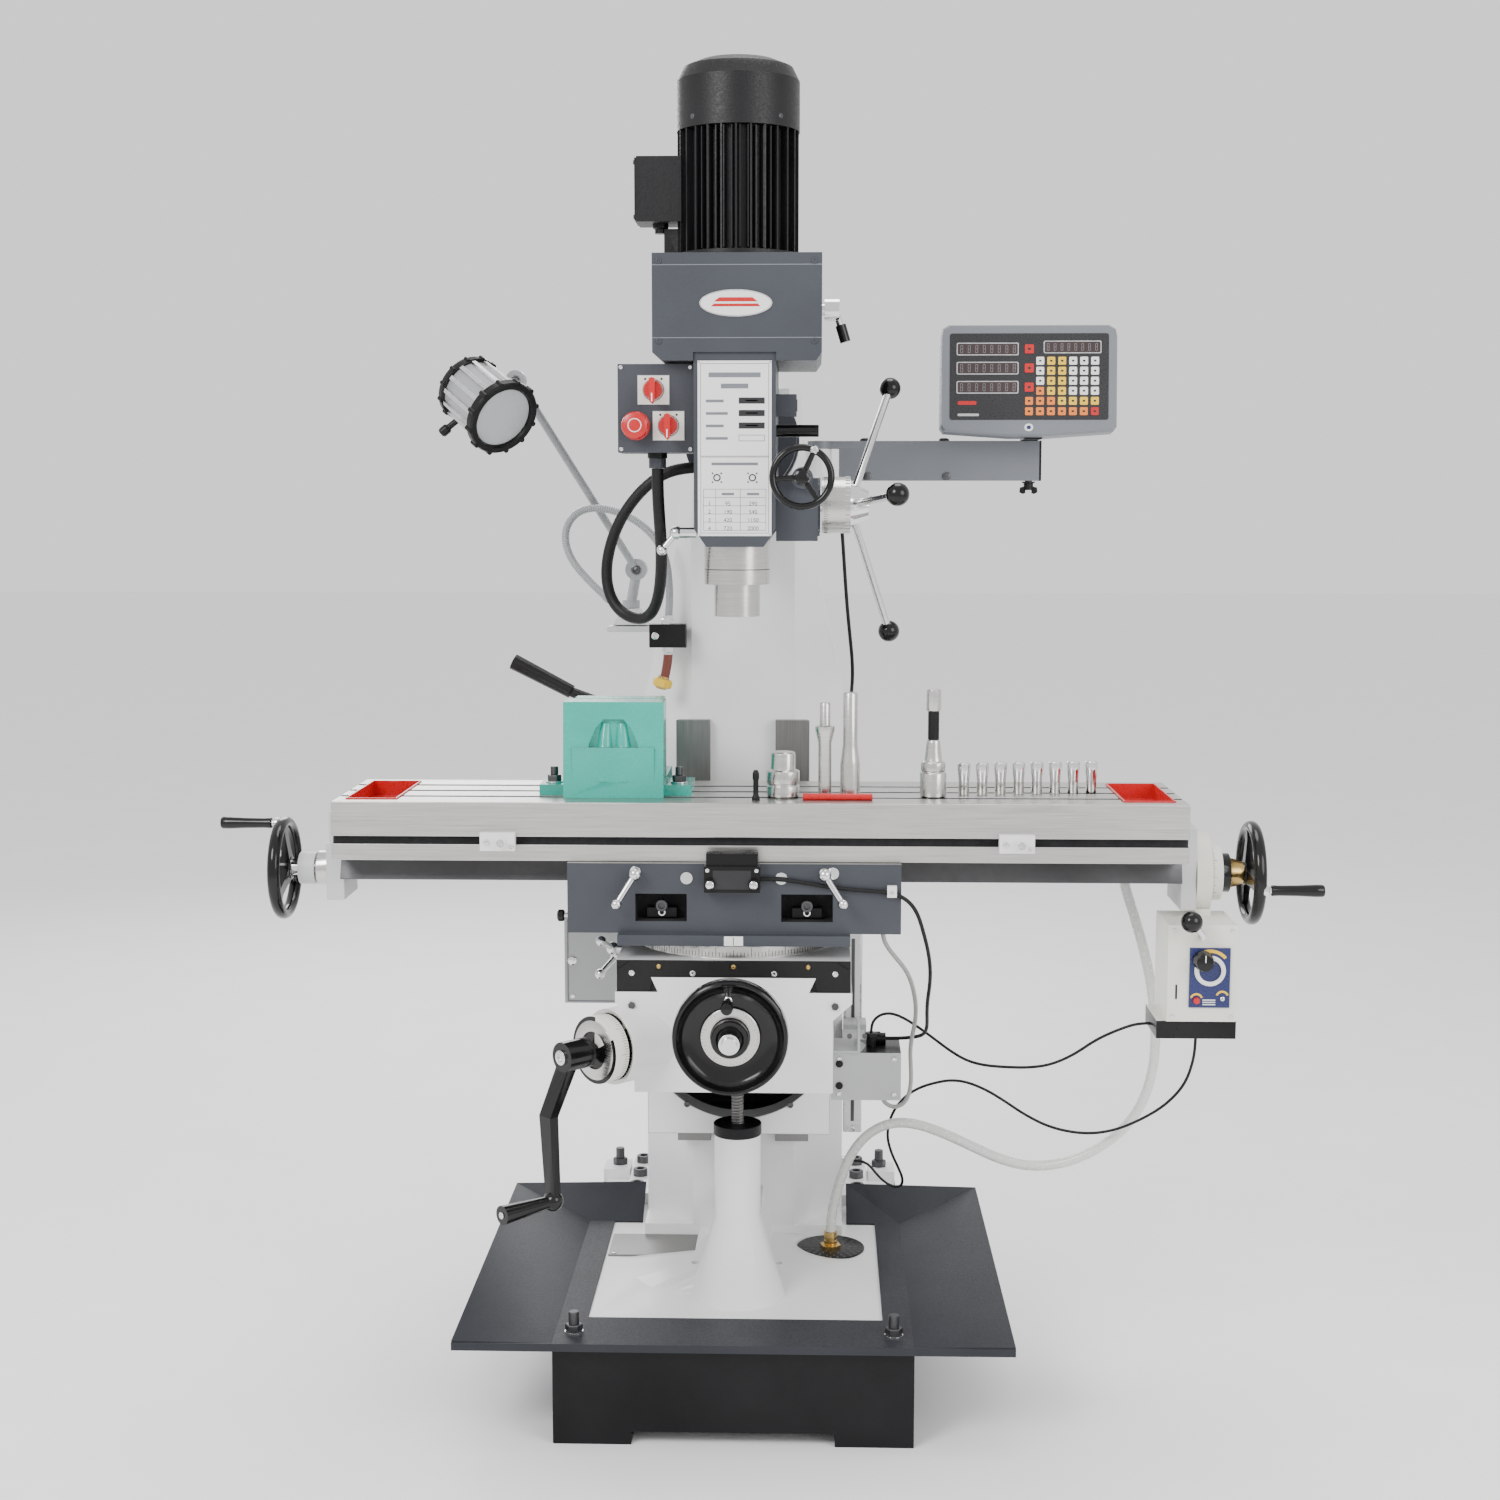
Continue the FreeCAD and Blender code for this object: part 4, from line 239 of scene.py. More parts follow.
class Piece:
    """One mesh piece, gathered from simple closed forms, each with its own material."""

    def __init__(self, name, body, slot=None, replaces=(), bevel=0.0006):
        self.name, self.body, self.slot, self.replaces, self.bevel = name, body, slot, replaces, bevel
        self.verts, self.faces, self.mats, self.index = [], [], [], []

    def add(self, verts, faces, mat):
        if mat not in self.mats:
            self.mats.append(mat)
        base = len(self.verts)
        self.verts += [tuple(v) for v in verts]
        for face in faces:
            self.faces.append([base + i for i in face])
            self.index.append(self.mats.index(mat))

    def block(self, xs, ys, zs, mat):
        v = [D(x, y, z) for x in xs for y in ys for z in zs]
        self.add(v, BLOCK_FACES, mat)

    def prism(self, axis, points, span, mat):
        """A polygon drawn across an axis, from the low to the high end of the span."""
        spots = {"x": lambda a, b, t: D(t, a, b), "y": lambda a, b, t: D(a, t, b), "z": lambda a, b, t: D(a,
                b, t)}
        v = [spots[axis](a, b, t) for t in span for a, b in points]
        self.add(v, skin(2, len(points)), mat)

    def lathe(self, at, axis, profile, mat, steps=40, turn=0.0, hollow=False):
        """A turned form: (radius, distance along the axis) points from one end to the other.
        A hollow one is a ring: its last point joins its first."""
        origin, along = D(*at), Vector(axis).normalized()
        side = along.orthogonal().normalized()
        other = along.cross(side)
        rings, verts = [], []
        for radius, far in profile:
            if radius == 0:
                rings.append([len(verts)])
                verts.append(origin + along * far / 1000)
                continue
            ring = []
            for k in range(steps):
                a = 2 * pi * k / steps + turn
                ring.append(len(verts))
                verts.append(origin + along * far / 1000 + (side * cos(a) + other * sin(a)) * radius / 1000)
            rings.append(ring)
        faces = []
        for low, high in zip(rings, rings[1:] + (rings[:1] if hollow else [])):
            for k in range(steps):
                n = (k + 1) % steps
                if len(low) == 1 and len(high) == 1:
                    continue
                if len(low) == 1:
                    faces.append((low[0], high[n], high[k]))
                elif len(high) == 1:
                    faces.append((low[k], low[n], high[0]))
                else:
                    faces.append((low[k], low[n], high[n], high[k]))
        if len(rings[0]) > 1 and not hollow:
            faces.append(tuple(rings[0][::-1]))
        if len(rings[-1]) > 1 and not hollow:
            faces.append(tuple(rings[-1]))
        self.add(verts, faces, mat)

    def ring(self, at, axis, profile, mat, steps=40):
        self.lathe(at, axis, profile, mat, steps, hollow=True)

    def disc(self, at, axis, r, long, mat, steps):
        self.lathe(at, axis, [(r, 0), (r, long)], mat, steps)

    def rod(self, a, b, radius, mat, end=None, steps=32):
        a, b = Vector(a), Vector(b)
        long = (b - a).length
        self.lathe(a, b - a, [(radius, 0), (radius if end is None else end, long)], mat, steps)

    def hexagon(self, at, axis, across, long, mat, turn=0.0):
        r = across / sqrt(3)
        self.lathe(at, axis, [(r * 0.92, 0), (r, long * 0.12), (r, long * 0.88), (r * 0.92, long)], mat, 6,
                turn)

    def screw(self, at, axis, r, mat=None, long=4):
        """A socket-head screw with its hex recess."""
        mat = mat or DARK
        self.lathe(at, axis, [(r, 0), (r, long * 0.9), (r * 0.9, long), (r * 0.55, long),
                (r * 0.5, long * 0.4),
                              (0, long * 0.4)], mat, 18)

    def screws(self, xs, ys, zs, axis, r, mat, long):
        """The same screw at every combination of the given places."""
        for x in xs:
            for y in ys:
                for z in zs:
                    self.screw((x, y, z), axis, r, mat, long)

    def torus(self, at, axis, big, small, mat, steps=48, round_steps=12):
        origin, along = D(*at), Vector(axis).normalized()
        side = along.orthogonal().normalized()
        other = along.cross(side)
        verts, faces = [], []
        for k in range(steps):
            a = 2 * pi * k / steps
            out = side * cos(a) + other * sin(a)
            for j in range(round_steps):
                b = 2 * pi * j / round_steps
                verts.append(origin + out * (big + small * cos(b)) / 1000 + along * small * sin(b) / 1000)
        for k in range(steps):
            for j in range(round_steps):
                n, i = (k + 1) % steps, (j + 1) % round_steps
                faces.append((k * round_steps + j, n * round_steps + j, n * round_steps + i,
                        k * round_steps + i))
        self.add(verts, faces, mat)

    def tube(self, points, radius, mat, per=8, steps=16, ribs=0.0, pitch=3.0):
        """A round tube along a smooth line; ribs is how far its corrugations stand, pitch their spacing."""
        line = spline(points, per)
        if ribs:
            line = even(line, pitch / 4000)
        frames = carried(line)
        verts = []
        for k, (p, side, other) in enumerate(zip(line, *frames)):
            r = radius + (ribs * (1, 0.2, -1, 0.2)[k % 4] if ribs else 0)
            for j in range(steps):
                a = 2 * pi * j / steps
                verts.append(p + (side * cos(a) + other * sin(a)) * r / 1000)
        self.add(verts, skin(len(line), steps), mat)

    def ticks(self, at, axis, start, radius, count, mat, arc=360, first=0.0, long=(3, 5, 7), wide=0.5,
            rise=0.25,
              cyl=False):
        """Fine scale marks: on a flat face round its centre, or along a cylinder's side."""
        origin, along = Vector(at), Vector(axis).normalized()
        side = Vector(start).normalized()
        other = along.cross(side)
        for k in range(count):
            a = radians(first + arc * k / count)
            out = side * cos(a) + other * sin(a)
            tangent = along.cross(out)
            size = long[2] if k % 10 == 0 else long[1] if k % 5 == 0 else long[0]
            if cyl:
                corners = [origin + out * (radius + h) + tangent * w * wide / 2 + along * f
                           for h in (-0.4, rise) for w in (-1, 1) for f in (0, size)]
            else:
                corners = [origin + out * f + tangent * w * wide / 2 + along * h
                           for f in (radius - size, radius) for w in (-1, 1) for h in (-0.4, rise)]
            v = [D(*c) for c in corners]
            self.add(v, BLOCK_FACES, mat)

    def done(self, angle=32):
        mesh = bpy.data.meshes.new(self.name)
        mesh.from_pydata(self.verts, [], self.faces)
        for mat in self.mats:
            mesh.materials.append(mat)
        mesh.polygons.foreach_set("material_index", self.index)
        bm = bmesh.new()
        bm.from_mesh(mesh)
        bmesh.ops.recalc_face_normals(bm, faces=bm.faces)
        bm.to_mesh(mesh)
        bm.free()
        obj = placed(self.name, mesh)
        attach(obj, self.body)
        if self.replaces:
            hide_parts(*self.replaces)
        return sharpen(obj, self.bevel, angle)


def remade(node, body, bevel):
    """A piece that takes the place of a CAD node's own shape."""
    return Piece(node + "_look", body, SLOT[node], (node,), bevel)


def spline(points, per):
    """A smooth line through the points' neighbourhood: a uniform quadratic B-spline with held ends."""
    p = [D(*q) for q in points]
    p = [p[0]] + p + [p[-1]]
    line = []
    for a, b, c in zip(p, p[1:], p[2:]):
        for k in range(per):
            t = k / per
            line.append(((a + b) / 2) * (1 - t) ** 2 + b * 2 * t * (1 - t) + ((b + c) / 2) * t * t)
    return [p[0]] + line[1:] + [p[-1]]


def even(line, step):
    """The same line with points the same distance apart."""
    out, carry = [line[0]], 0.0
    for a, b in zip(line, line[1:]):
        long = (b - a).length
        if long < 1e-9:
            continue
        at = step - carry
        while at <= long:
            out.append(a + (b - a) * at / long)
            at += step
        carry = long - (at - step)
    return out


def carried(line):
    """Side directions along a line that don't twist."""
    sides, others = [], []
    ahead = (line[1] - line[0]).normalized()
    side = ahead.orthogonal().normalized()
    for k in range(len(line)):
        a, b = line[max(0, k - 1)], line[min(len(line) - 1, k + 1)]
        ahead = (b - a).normalized()
        side = (side - ahead * side.dot(ahead)).normalized()
        sides.append(side)
        others.append(ahead.cross(side))
    return sides, others


# ---------------------------------------------------------------- camera, lights and cords
CAMERA_YAW, CAMERA_PITCH = 0.03086, 0.11656     # to the left and downwards, in radians
CAMERA_PLACE = (0.1181, -3.4145, 1.3986)
CAMERA_LENS = 50.4


def camera():
    yaw, pitch = CAMERA_YAW, CAMERA_PITCH
    fwd = Vector((-sin(yaw) * cos(pitch), cos(yaw) * cos(pitch), -sin(pitch)))
    right = Vector((cos(yaw), sin(yaw), 0))
    up = right.cross(fwd)
    cam = bpy.data.cameras.new("camera")
    cam.lens, cam.sensor_width = CAMERA_LENS, 36.0
    obj = placed("camera", cam)
    obj.matrix_world = Matrix([(right[k], up[k], -fwd[k], CAMERA_PLACE[k]) for k in range(3)] + [(0, 0, 0,
            1)])
    bpy.context.scene.camera = obj


def light(name, place, target, size, power):
    lamp = bpy.data.lights.new(name, "AREA")
    lamp.shape, lamp.size, lamp.energy = "DISK", size, power
    obj = placed(name, lamp)
    obj.location = place
    obj.rotation_euler = (Vector(target) - Vector(place)).to_track_quat("-Z", "Y").to_euler()


def studio():
    world = bpy.data.worlds.new("studio")
    world.use_nodes = True
    sky = world.node_tree.nodes["Background"].inputs
    sky["Color"].default_value, sky["Strength"].default_value = (1, 1, 1, 1), 1.15
    bpy.context.scene.world = world
    light("key", (-2.2, -3.2, 3.4), (0, 0, 1.1), 1.8, 120)
    light("fill", (2.6, -2.6, 2.2), (0, 0, 1.0), 2.2, 60)
    light("top", (0.2, 0.4, 4.2), (0, 0, 1.0), 2.0, 60)
    light("back", (-1.2, 3.4, 2.6), (0, 0, 1.0), 2.0, 60)
    mesh = bpy.data.meshes.new("floor")
    mesh.from_pydata([(-30, -30, 0), (30, -30, 0), (30, 30, 0), (-30, 30, 0)], [], [(0, 1, 2, 3)])
    floor = placed("floor", mesh)
    mesh.materials.append(material("pale_floor", (0.93, 0.93, 0.93), 0.7, 8, 0.01, 0.01))


def cord(node, points, diameter, mat, body):
    """A cord laid along its points, from the first one to the last."""
    curve = bpy.data.curves.new(node + "_line", "CURVE")
    curve.dimensions = "3D"
    line = curve.splines.new("NURBS")
    line.points.add(len(points) - 1)
    for spot, p in zip(line.points, points):
        spot.co = (*D(*p), 1)
    line.order_u = 3
    line.use_endpoint_u = True
    line.resolution_u = 6
    curve.bevel_depth = diameter / 2
    curve.bevel_resolution = 4
    curve.use_fill_caps = True
    curve.materials.append(mat)
    obj = placed(node + "_line", curve)
    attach(obj, body)
    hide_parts(node)


COOLANT_HOSE = [
    (604, 100, 857.7), (604.4, 100, 830), (611, 98, 794), (626, 92, 748), (641, 86, 696), (653, 80, 640),
    (659, 76, 586), (660, 74, 532), (652, 74, 482), (634, 76, 436), (604, 80, 398), (564, 88, 366),
    (516, 96, 344), (466, 108, 336), (420, 120, 344), (372, 134, 363), (326, 146, 381), (282, 158, 392),
    (244, 168, 389), (210, 180, 368), (184, 190, 334), (167, 198, 292), (155, 203, 248), (148.4, 205, 212),
    (148, 205, 190.5)]
FEED_CABLE = [
    (628.8, -60, 616), (611, -60, 616), (586, -54, 606), (552, -34, 584), (520, -12, 553), (487, 10, 531),
    (456, 30, 521), (424, 50, 516), (390, 70, 513), (362, 88, 516), (336, 106, 528), (312, 122, 543),
    (288, 135, 558), (265, 143, 571), (246, 146, 578), (230, 146, 577), (218, 146, 569), (212.4, 146, 558),
    (212, 146, 546.4)]
SUPPLY_CABLE = [
    (700, -50, 606.7), (700, -50, 584), (699, -40, 552), (691, -20, 510), (668, 10, 469), (635, 40, 436),
    (592, 58, 411), (548, 78, 400), (500, 104, 402), (461, 136, 414), (430, 156, 431), (400, 170, 446),
    (370, 182, 455), (344, 192, 455), (320, 200, 448), (296, 208, 438), (274, 214, 423), (257, 220, 402),
    (246, 228, 376), (242, 238, 344), (250, 250, 312), (262, 262, 284), (271, 275, 260), (270, 288, 243),
    (261, 302, 235), (248, 322, 233), (236, 344, 236), (226, 366, 241), (218, 384, 246), (208, 396, 249),
    (196, 400, 250), (182.4, 400, 250)]
SWITCH_CABLE = [
    (39.3, -146, 850), (70, -146, 850), (104, -146, 845), (144, -146, 838), (186, -146, 834),
    (224, -146, 832), (251, -144, 824), (270, -138, 803), (282, -122, 764), (291, -98, 727), (295, -68, 694),
    (296, -32, 664), (295, 4, 634), (296, 36, 608), (298, 64, 586), (299, 90, 567), (295, 114, 551),
    (283, 138, 541), (265, 154, 535), (250, 160, 533), (236.4, 160, 533)]
SCALE_CABLE = [
    (222, -62, 766.6), (222.5, -62, 746), (232, -50, 726), (246, -30, 706), (260, -2, 684), (270, 26, 660),
    (277, 52, 632), (281, 78, 604), (281, 102, 574), (277, 122, 546), (275, 138, 518), (277, 149, 490),
    (278, 155, 462), (275, 158, 440), (267, 159, 424), (253, 160, 417), (239, 160, 421), (230.5, 160, 432.5),
    (230, 160, 445.7)]
HEAD_CONDUIT = [
    (-60.5, 110, 1456), (-92, 110, 1455), (-128, 113, 1442), (-160, 118, 1415), (-188, 124, 1377),
    (-206, 128, 1334), (-213, 128, 1290), (-206, 124, 1252), (-186, 115, 1227), (-160, 98, 1218),
    (-138, 76, 1226), (-124, 50, 1252), (-117, 24, 1292), (-115, 0, 1336), (-116.5, -20, 1380),
    (-118, -30, 1422), (-118, -30, 1451.6)]
CONSOLE_CABLE = [
    (160, 316, 1436.7), (160, 316, 1412), (161, 314, 1376), (164.5, 310, 1330), (168, 309, 1278),
    (172, 312, 1226), (177, 319, 1178), (181, 328, 1140), (182, 338, 1112), (181, 352, 1088),
    (180, 372, 1071), (179, 396, 1063), (178.5, 419.6, 1062)]


def cords():
    cord("coolant_hose", COOLANT_HOSE, 0.016, HOSE, "base")
    cord("power_feed_cable", FEED_CABLE, 0.0046, RUBBER, "knee")
    cord("feed_supply_cable", SUPPLY_CABLE, 0.0046, RUBBER, "base")
    cord("switch_cable", SWITCH_CABLE, 0.006, RUBBER, "knee")
    cord("scale_cable", SCALE_CABLE, 0.007, CABLE, "knee")
    cord("head_conduit", HEAD_CONDUIT, 0.018, RUBBER, "head")
    cord("console_cable", CONSOLE_CABLE, 0.006, RUBBER, "base")


# ---------------------------------------------------------------- stand, tray, column
SEAT = 160.0        # top of the base plate


def slots(p, centre, rings, long, wide, span, mat):
    """Rings of small marks that lie along their radius; a ring is its radius and how many marks it has."""
    for ring, count in rings:
        for c, s in around(count):
            p.prism("z", [(centre[0] + c * (ring + f) - s * w, centre[1] + s * (ring + f) + c * w)
                          for f, w in ((-long, -wide), (long, -wide), (long, wide), (-long,
                                  wide))], span, mat)


def stand():
    dress("base_plinth", BLACK, bevel=0.002)
    dress("base_casting", WHITE, bevel=0.004)
    dress("chip_tray", TRAY, bevel=0.0008)
    dress("column", WHITE, [
        (DULL, lambda c, n: c.y < 262 and 50 < abs(c.x) < 112 and 330 < c.z < 1050),
        (NAVY, lambda c, n: c.z > 1400 and c.y < 262 and c.z < 1600)], bevel=0.003)
    dress("elevating_nut", BLACK, bevel=0.0015)
    p = remade("base_fittings", "base", 0.0006)
    p.ring((148, 207, SEAT), UP, [(56.5, 0), (56.5, 2.4), (55.5, 3), (12, 3), (12, 0)], PLASTIC, 64)
    p.disc((148, 207, SEAT - 30), UP, 50, 29, DARK, 48)
    slots(p, (148, 207), ((22, 10), (32, 16), (42, 22), (51, 28)), 3.4, 1.1, (SEAT + 2.9, SEAT + 3.2), DARK)
    p.lathe((148, 205, SEAT + 3), UP, [(18, 0), (18, 5), (15, 6)], BRASS, 6)
    p.lathe((148, 205, SEAT + 8), UP, [(10, 0), (11, 2), (11, 7), (9.5, 8), (9.5, 12), (11, 13),
            (11, 22)], BRASS, 24)
    p.block((-221, -77), (158, 262), (SEAT, SEAT + 1.6), DULL)
    p.block((-221, -77), (158, 162), (SEAT + 1.6, SEAT + 2), DARK)
    p.screws((-212, -86), (168,), (SEAT + 1.4,), UP, 4, CHROME, 2)
    for side in (-1, 1):
        for y, rest in ((-170, SEAT + 3), (590, SEAT + 18)):
            at = (side * 240, y)
            p.disc((*at, rest), UP, 14, 2, CHROME, 28)
            p.hexagon((*at, rest + 2), UP, 23, 11, DARK, 0.3)
            p.lathe((*at, rest + 13), UP, [(8, 0), (8, 18), (7, 19)], DARK, 20)
            p.disc((*at, SEAT - 38), UP, 7.9, rest - SEAT + 40, DARK, 16)
        for y in (446, 522, 600):
            p.screw((side * 197, y, SEAT + 20), UP, 13, DARK, 13)
    p.done()
    p = Piece("drain_shadows", "base", "dark_steel", bevel=0)
    for x in (-72, 62):
        p.disc((x, 104, SEAT + 0.2), UP, 6.9, 0.3, PAINTED_SHADE, 24)
    p.done()


def column_parts():
    dress("column_electrics", GREY, [(ALU, lambda c, n: c.x > 168 and c.z < 700)], bevel=0.0015)
    p = Piece("cabinet_trim", "base", "cabinet_grey", bevel=0.0004)
    for x in (-308, -174):
        p.block((x - 1, x + 1), (369.2, 370), (541, 686), PATCH)
    for z in (541, 686):
        p.block((-308, -174), (369.2, 370), (z - 1, z + 1), PATCH)
    p.screws((-300, -182), (370,), (549, 678), FRONT, 4, CHROME, 2)
    p.lathe((-300, 370, 612), FRONT, [(8, 0), (8, 2), (6, 3), (0, 3)], CHROME, 28)
    # Painted shade: dark strips on the cabinet's side stand for the shade inside its louvre slots.
    for k in range(6):
        p.block((-314.4, -314), (410, 500), (560 + k * 8, 563 + k * 8), PAINTED_SHADE)
    p.done()
    p = Piece("scale_bar_trim", "base", "cabinet_grey", bevel=0.0004)
    p.block((174, 198), (351.4, 352), (330, 664), LABEL)
    p.block((183, 189), (351.0, 351.5), (336, 658), DARK)
    p.screws((186,), (352,), (322, 671), FRONT, 5, CHROME, 3)
    p.done()


# ---------------------------------------------------------------- knee
CROSS_SCREW_Z = 646
CRANK_Z = 605
ROOT2 = sqrt(0.5)      # the crank's shaft stands at 45 degrees
CRANK_AXIS = Vector((-ROOT2, -ROOT2, 0))
CRANK_APEX = Vector((0, 0, CRANK_Z))


def crank_at(along, side=0.0, up=0.0):
    return (-ROOT2 * (along + side), ROOT2 * (side - along), CRANK_Z + up)


def about_crank(c):
    """How far along the crank's shaft a point is, and how far from the shaft."""
    along = (c - CRANK_APEX).dot(CRANK_AXIS)
    return along, (c - CRANK_APEX - CRANK_AXIS * along).length


def chip_arc(radius):
    """The lower edge of the chip opening under the knee, from left to right."""
    half = asin(112 / 150)
    return [(radius * sin(half * k / 12), 579 - radius * cos(half * k / 12)) for k in range(-12, 13)]


def knee_parts():
    # Painted shade: the faces inside the chip opening under the knee take the painted-shade colour.
    def shaded_opening_faces(c, n):
        return abs(c.x) < 124 and -142 < c.y < 226 and 405 < c.z < 633 and not (
            n.y < -0.99 and abs(c.y - 50) < 1 or n.z < -0.99 and abs(c.z - 532) < 1)

    dress("knee", WHITE, [
        (PAINTED_SHADE, shaded_opening_faces),
        (GROUND, lambda c, n: c.z > 684.2 and abs(c.x) < 123),
        (GROUND, lambda c, n: n.z > 0.99 and c.z > 683),
        (TURNED, lambda c, n: about_crank(c)[0] > 257.5),
        (TURNED, lambda c, n: n.y < -0.99 and c.y < -198)], bevel=0.004,
          drop=lambda c, n: 49 < c.y < 67 and abs(c.x) < 143 and 404.5 < c.z < 531.5)
    p = Piece("knee_apron", "knee", "cast_white", bevel=0.0015)
    opening = chip_arc(150.4)
    p.prism("y", [(143.8, 531.8), (143.8, 404.2), (-143.8, 404.2), (-143.8, 531.8),
            (opening[0][0], 531.8)] + opening + [(opening[-1][0], 531.8)], (50, 66), WHITE)
    # Painted shade: the sill inside the opening is mid grey in place of the casting's white, for the partial
    # shade under the apron's edge.
    p.prism("y", chip_arc(150) + chip_arc(158)[::-1], (50.6, 98), GREY)
    # Painted shade: a dark sheet at the foot of the opening.
    p.block((-122.6, 122.6), (66.6, 224.6), (405, 407), PAINTED_SHADE)
    p.done()
    p = Piece("knee_trim", "knee", "cast_white", bevel=0.0005)
    for x in (-150, 150):
        p.hexagon((x, -165.5, 664), FRONT, 10, 4, DARK)
    p.screws((-82, 82), (49.6,), (452,), FRONT, 5, DARK, 3)
    p.done()
    dress("elevating_screw", DARK, bevel=0, drop=lambda c, n: hypot(c.x, c.y) < 10.4 and c.z < 574)
    thread("elevating_screw_thread", "elevating_screw", (190, 574), 10.0, 8.6, 5.0)
    dress("knee_crank", GLOSSY, [
        (IVORY, lambda c, n: 258 < about_crank(c)[0] < 287 and 30 < about_crank(c)[1] < 51),
        (DARK, lambda c, n: about_crank(c)[0] < 250)], bevel=0.0018)
    p = Piece("knee_crank_trim", "knee_crank", "black_paint", bevel=0.0003)
    p.ticks(crank_at(262), CRANK_AXIS, UP, 50, 80, INK, long=(7, 9, 12), wide=0.7, rise=0.15, cyl=True)
    p.ring(crank_at(286), CRANK_AXIS, [(44, 0), (44, 1.5), (40, 2.5), (28, 2.5), (28, 0)], TURNED, 48)
    p.screw(crank_at(346), CRANK_AXIS, 11, CHROME, 4)
    p.screw(crank_at(452, 6, -212), CRANK_AXIS, 5, CHROME, 2)
    p.done()
    junction()
    cross_wheel()
    dress("cross_screw", CHROME, [(IVORY, lambda c, n: hypot(c.x, c.z - CROSS_SCREW_Z) > 30)], bevel=0.0008)
    for node in ("knee_lock", "saddle_lock", "table_lock_left", "table_lock_right"):
        dress(node, CHROME, bevel=0.0005)


def thread(name, body, span, crest, root, pitch):
    """A right-handed screw thread on the spindle's axis, turned once round for each pitch."""
    steps, rows = 28, 8     # points round the screw, rows of them for each pitch
    count = int((span[1] - span[0]) / pitch * rows)
    verts = []
    for row in range(count + 1):
        z = span[0] + (span[1] - span[0]) * row / count
        for k in range(steps):
            phase = ((z - span[0]) / pitch - k / steps) % 1
            high = 1 if 0.25 < phase < 0.7 else 0.0 if phase < 0.12 or phase > 0.85 else 0.5
            r = root + (crest - root) * high
            a = 2 * pi * k / steps
            verts.append(D(r * cos(a), r * sin(a), z))
    p = Piece(name, body, "ground_steel", bevel=0)
    p.add(verts, skin(count + 1, steps), DULL)
    p.done(60)


def junction():
    dress("junction_box", GREY, [(PLASTIC, lambda c, n: c.z < 700 and (
        hypot(c.x - 212,
                c.y - 146) < 8.3 and 524 < c.z < 547 or c.x > 211 and c.z > 524 and abs(c.y - 160) < 10))],
          bevel=0.0012)
    p = Piece("junction_trim", "knee", "cabinet_grey", bevel=0.0005)
    p.screws((160, 248), (100,), (456, 514), FRONT, 4, CHROME, 2)
    for x in (176, 200):
        p.disc((x, 100, 552), FRONT, 4, 5, DARK, 16)
    for z in (470, 506):
        p.lathe((160, 99.6, z), FRONT, [(6, 0), (6, 2.5), (4, 3.4), (0, 3.4)], PLASTIC, 20)
    p.lathe((212, 146, 538), UP, [(9.5, 0), (10.5, 1), (10.5, 7), (9, 8)], PLASTIC, 12)
    p.lathe((218, 160, 533), RIGHT, [(10, 0), (11, 1), (11, 9), (9.5, 10)], PLASTIC, 12)
    p.lathe((230, 160, 441), UP, [(6, 0), (7, 1), (7, 4.6)], PLASTIC, 12)
    p.done()


def cross_wheel():
    p = remade("cross_handwheel", "cross_drive", 0.0005)
    at, out = (0, -262, CROSS_SCREW_Z), FRONT
    p.ring(at, out, [(30, 1), (30, 9), (74, 9), (75, 1.5), (78, 0), (81.5, 1.5), (83, 5), (83, 24), (82, 28),
            (79.5, 29.8), (77, 29.2), (74.5, 26), (70, 20), (62, 15.5), (52, 13.8), (44, 13.5), (43, 15),
            (43, 18), (27.5, 18), (27.5, 1)], GLOSSY, 72)
    p.ring(at, out, [(42.5, 17), (42.5, 19.6), (41.5, 20.4), (28.5, 20.4), (28.5, 17)], TURNED, 72)
    p.ticks((0, -282.3, CROSS_SCREW_Z), out, UP, 41.2, 50, INK, long=(3, 5, 6.5), wide=0.6, rise=0.2)
    p.ring(at, out, [(27.6, 10), (27.6, 33), (26, 36), (20, 36), (17, 33), (11.2, 33),
            (11.2, 10)], GLOSSY, 48)
    spot = (-3, -276, 699)
    p.lathe(spot, out, [(6, 0), (6, 5), (4.5, 6), (4.5, 34)], CHROME, 20)
    p.lathe((-3, -306, 699), out, [(6.5, 0), (8.6, 3), (9, 12), (9, 24), (8, 29), (5, 30),
            (0, 30)], GLOSSY, 24)
    p.done()
    p = Piece("cross_nut_trim", "cross_drive", "bright_steel", bevel=0.0006)
    p.ring((0, -298.2, CROSS_SCREW_Z), out, [(13, 0), (13, 1), (11.3, 1), (11.3, 0)], CHROME, 40)
    p.hexagon((0, -298.5, CROSS_SCREW_Z), out, 14, 9, CHROME)
    p.done()


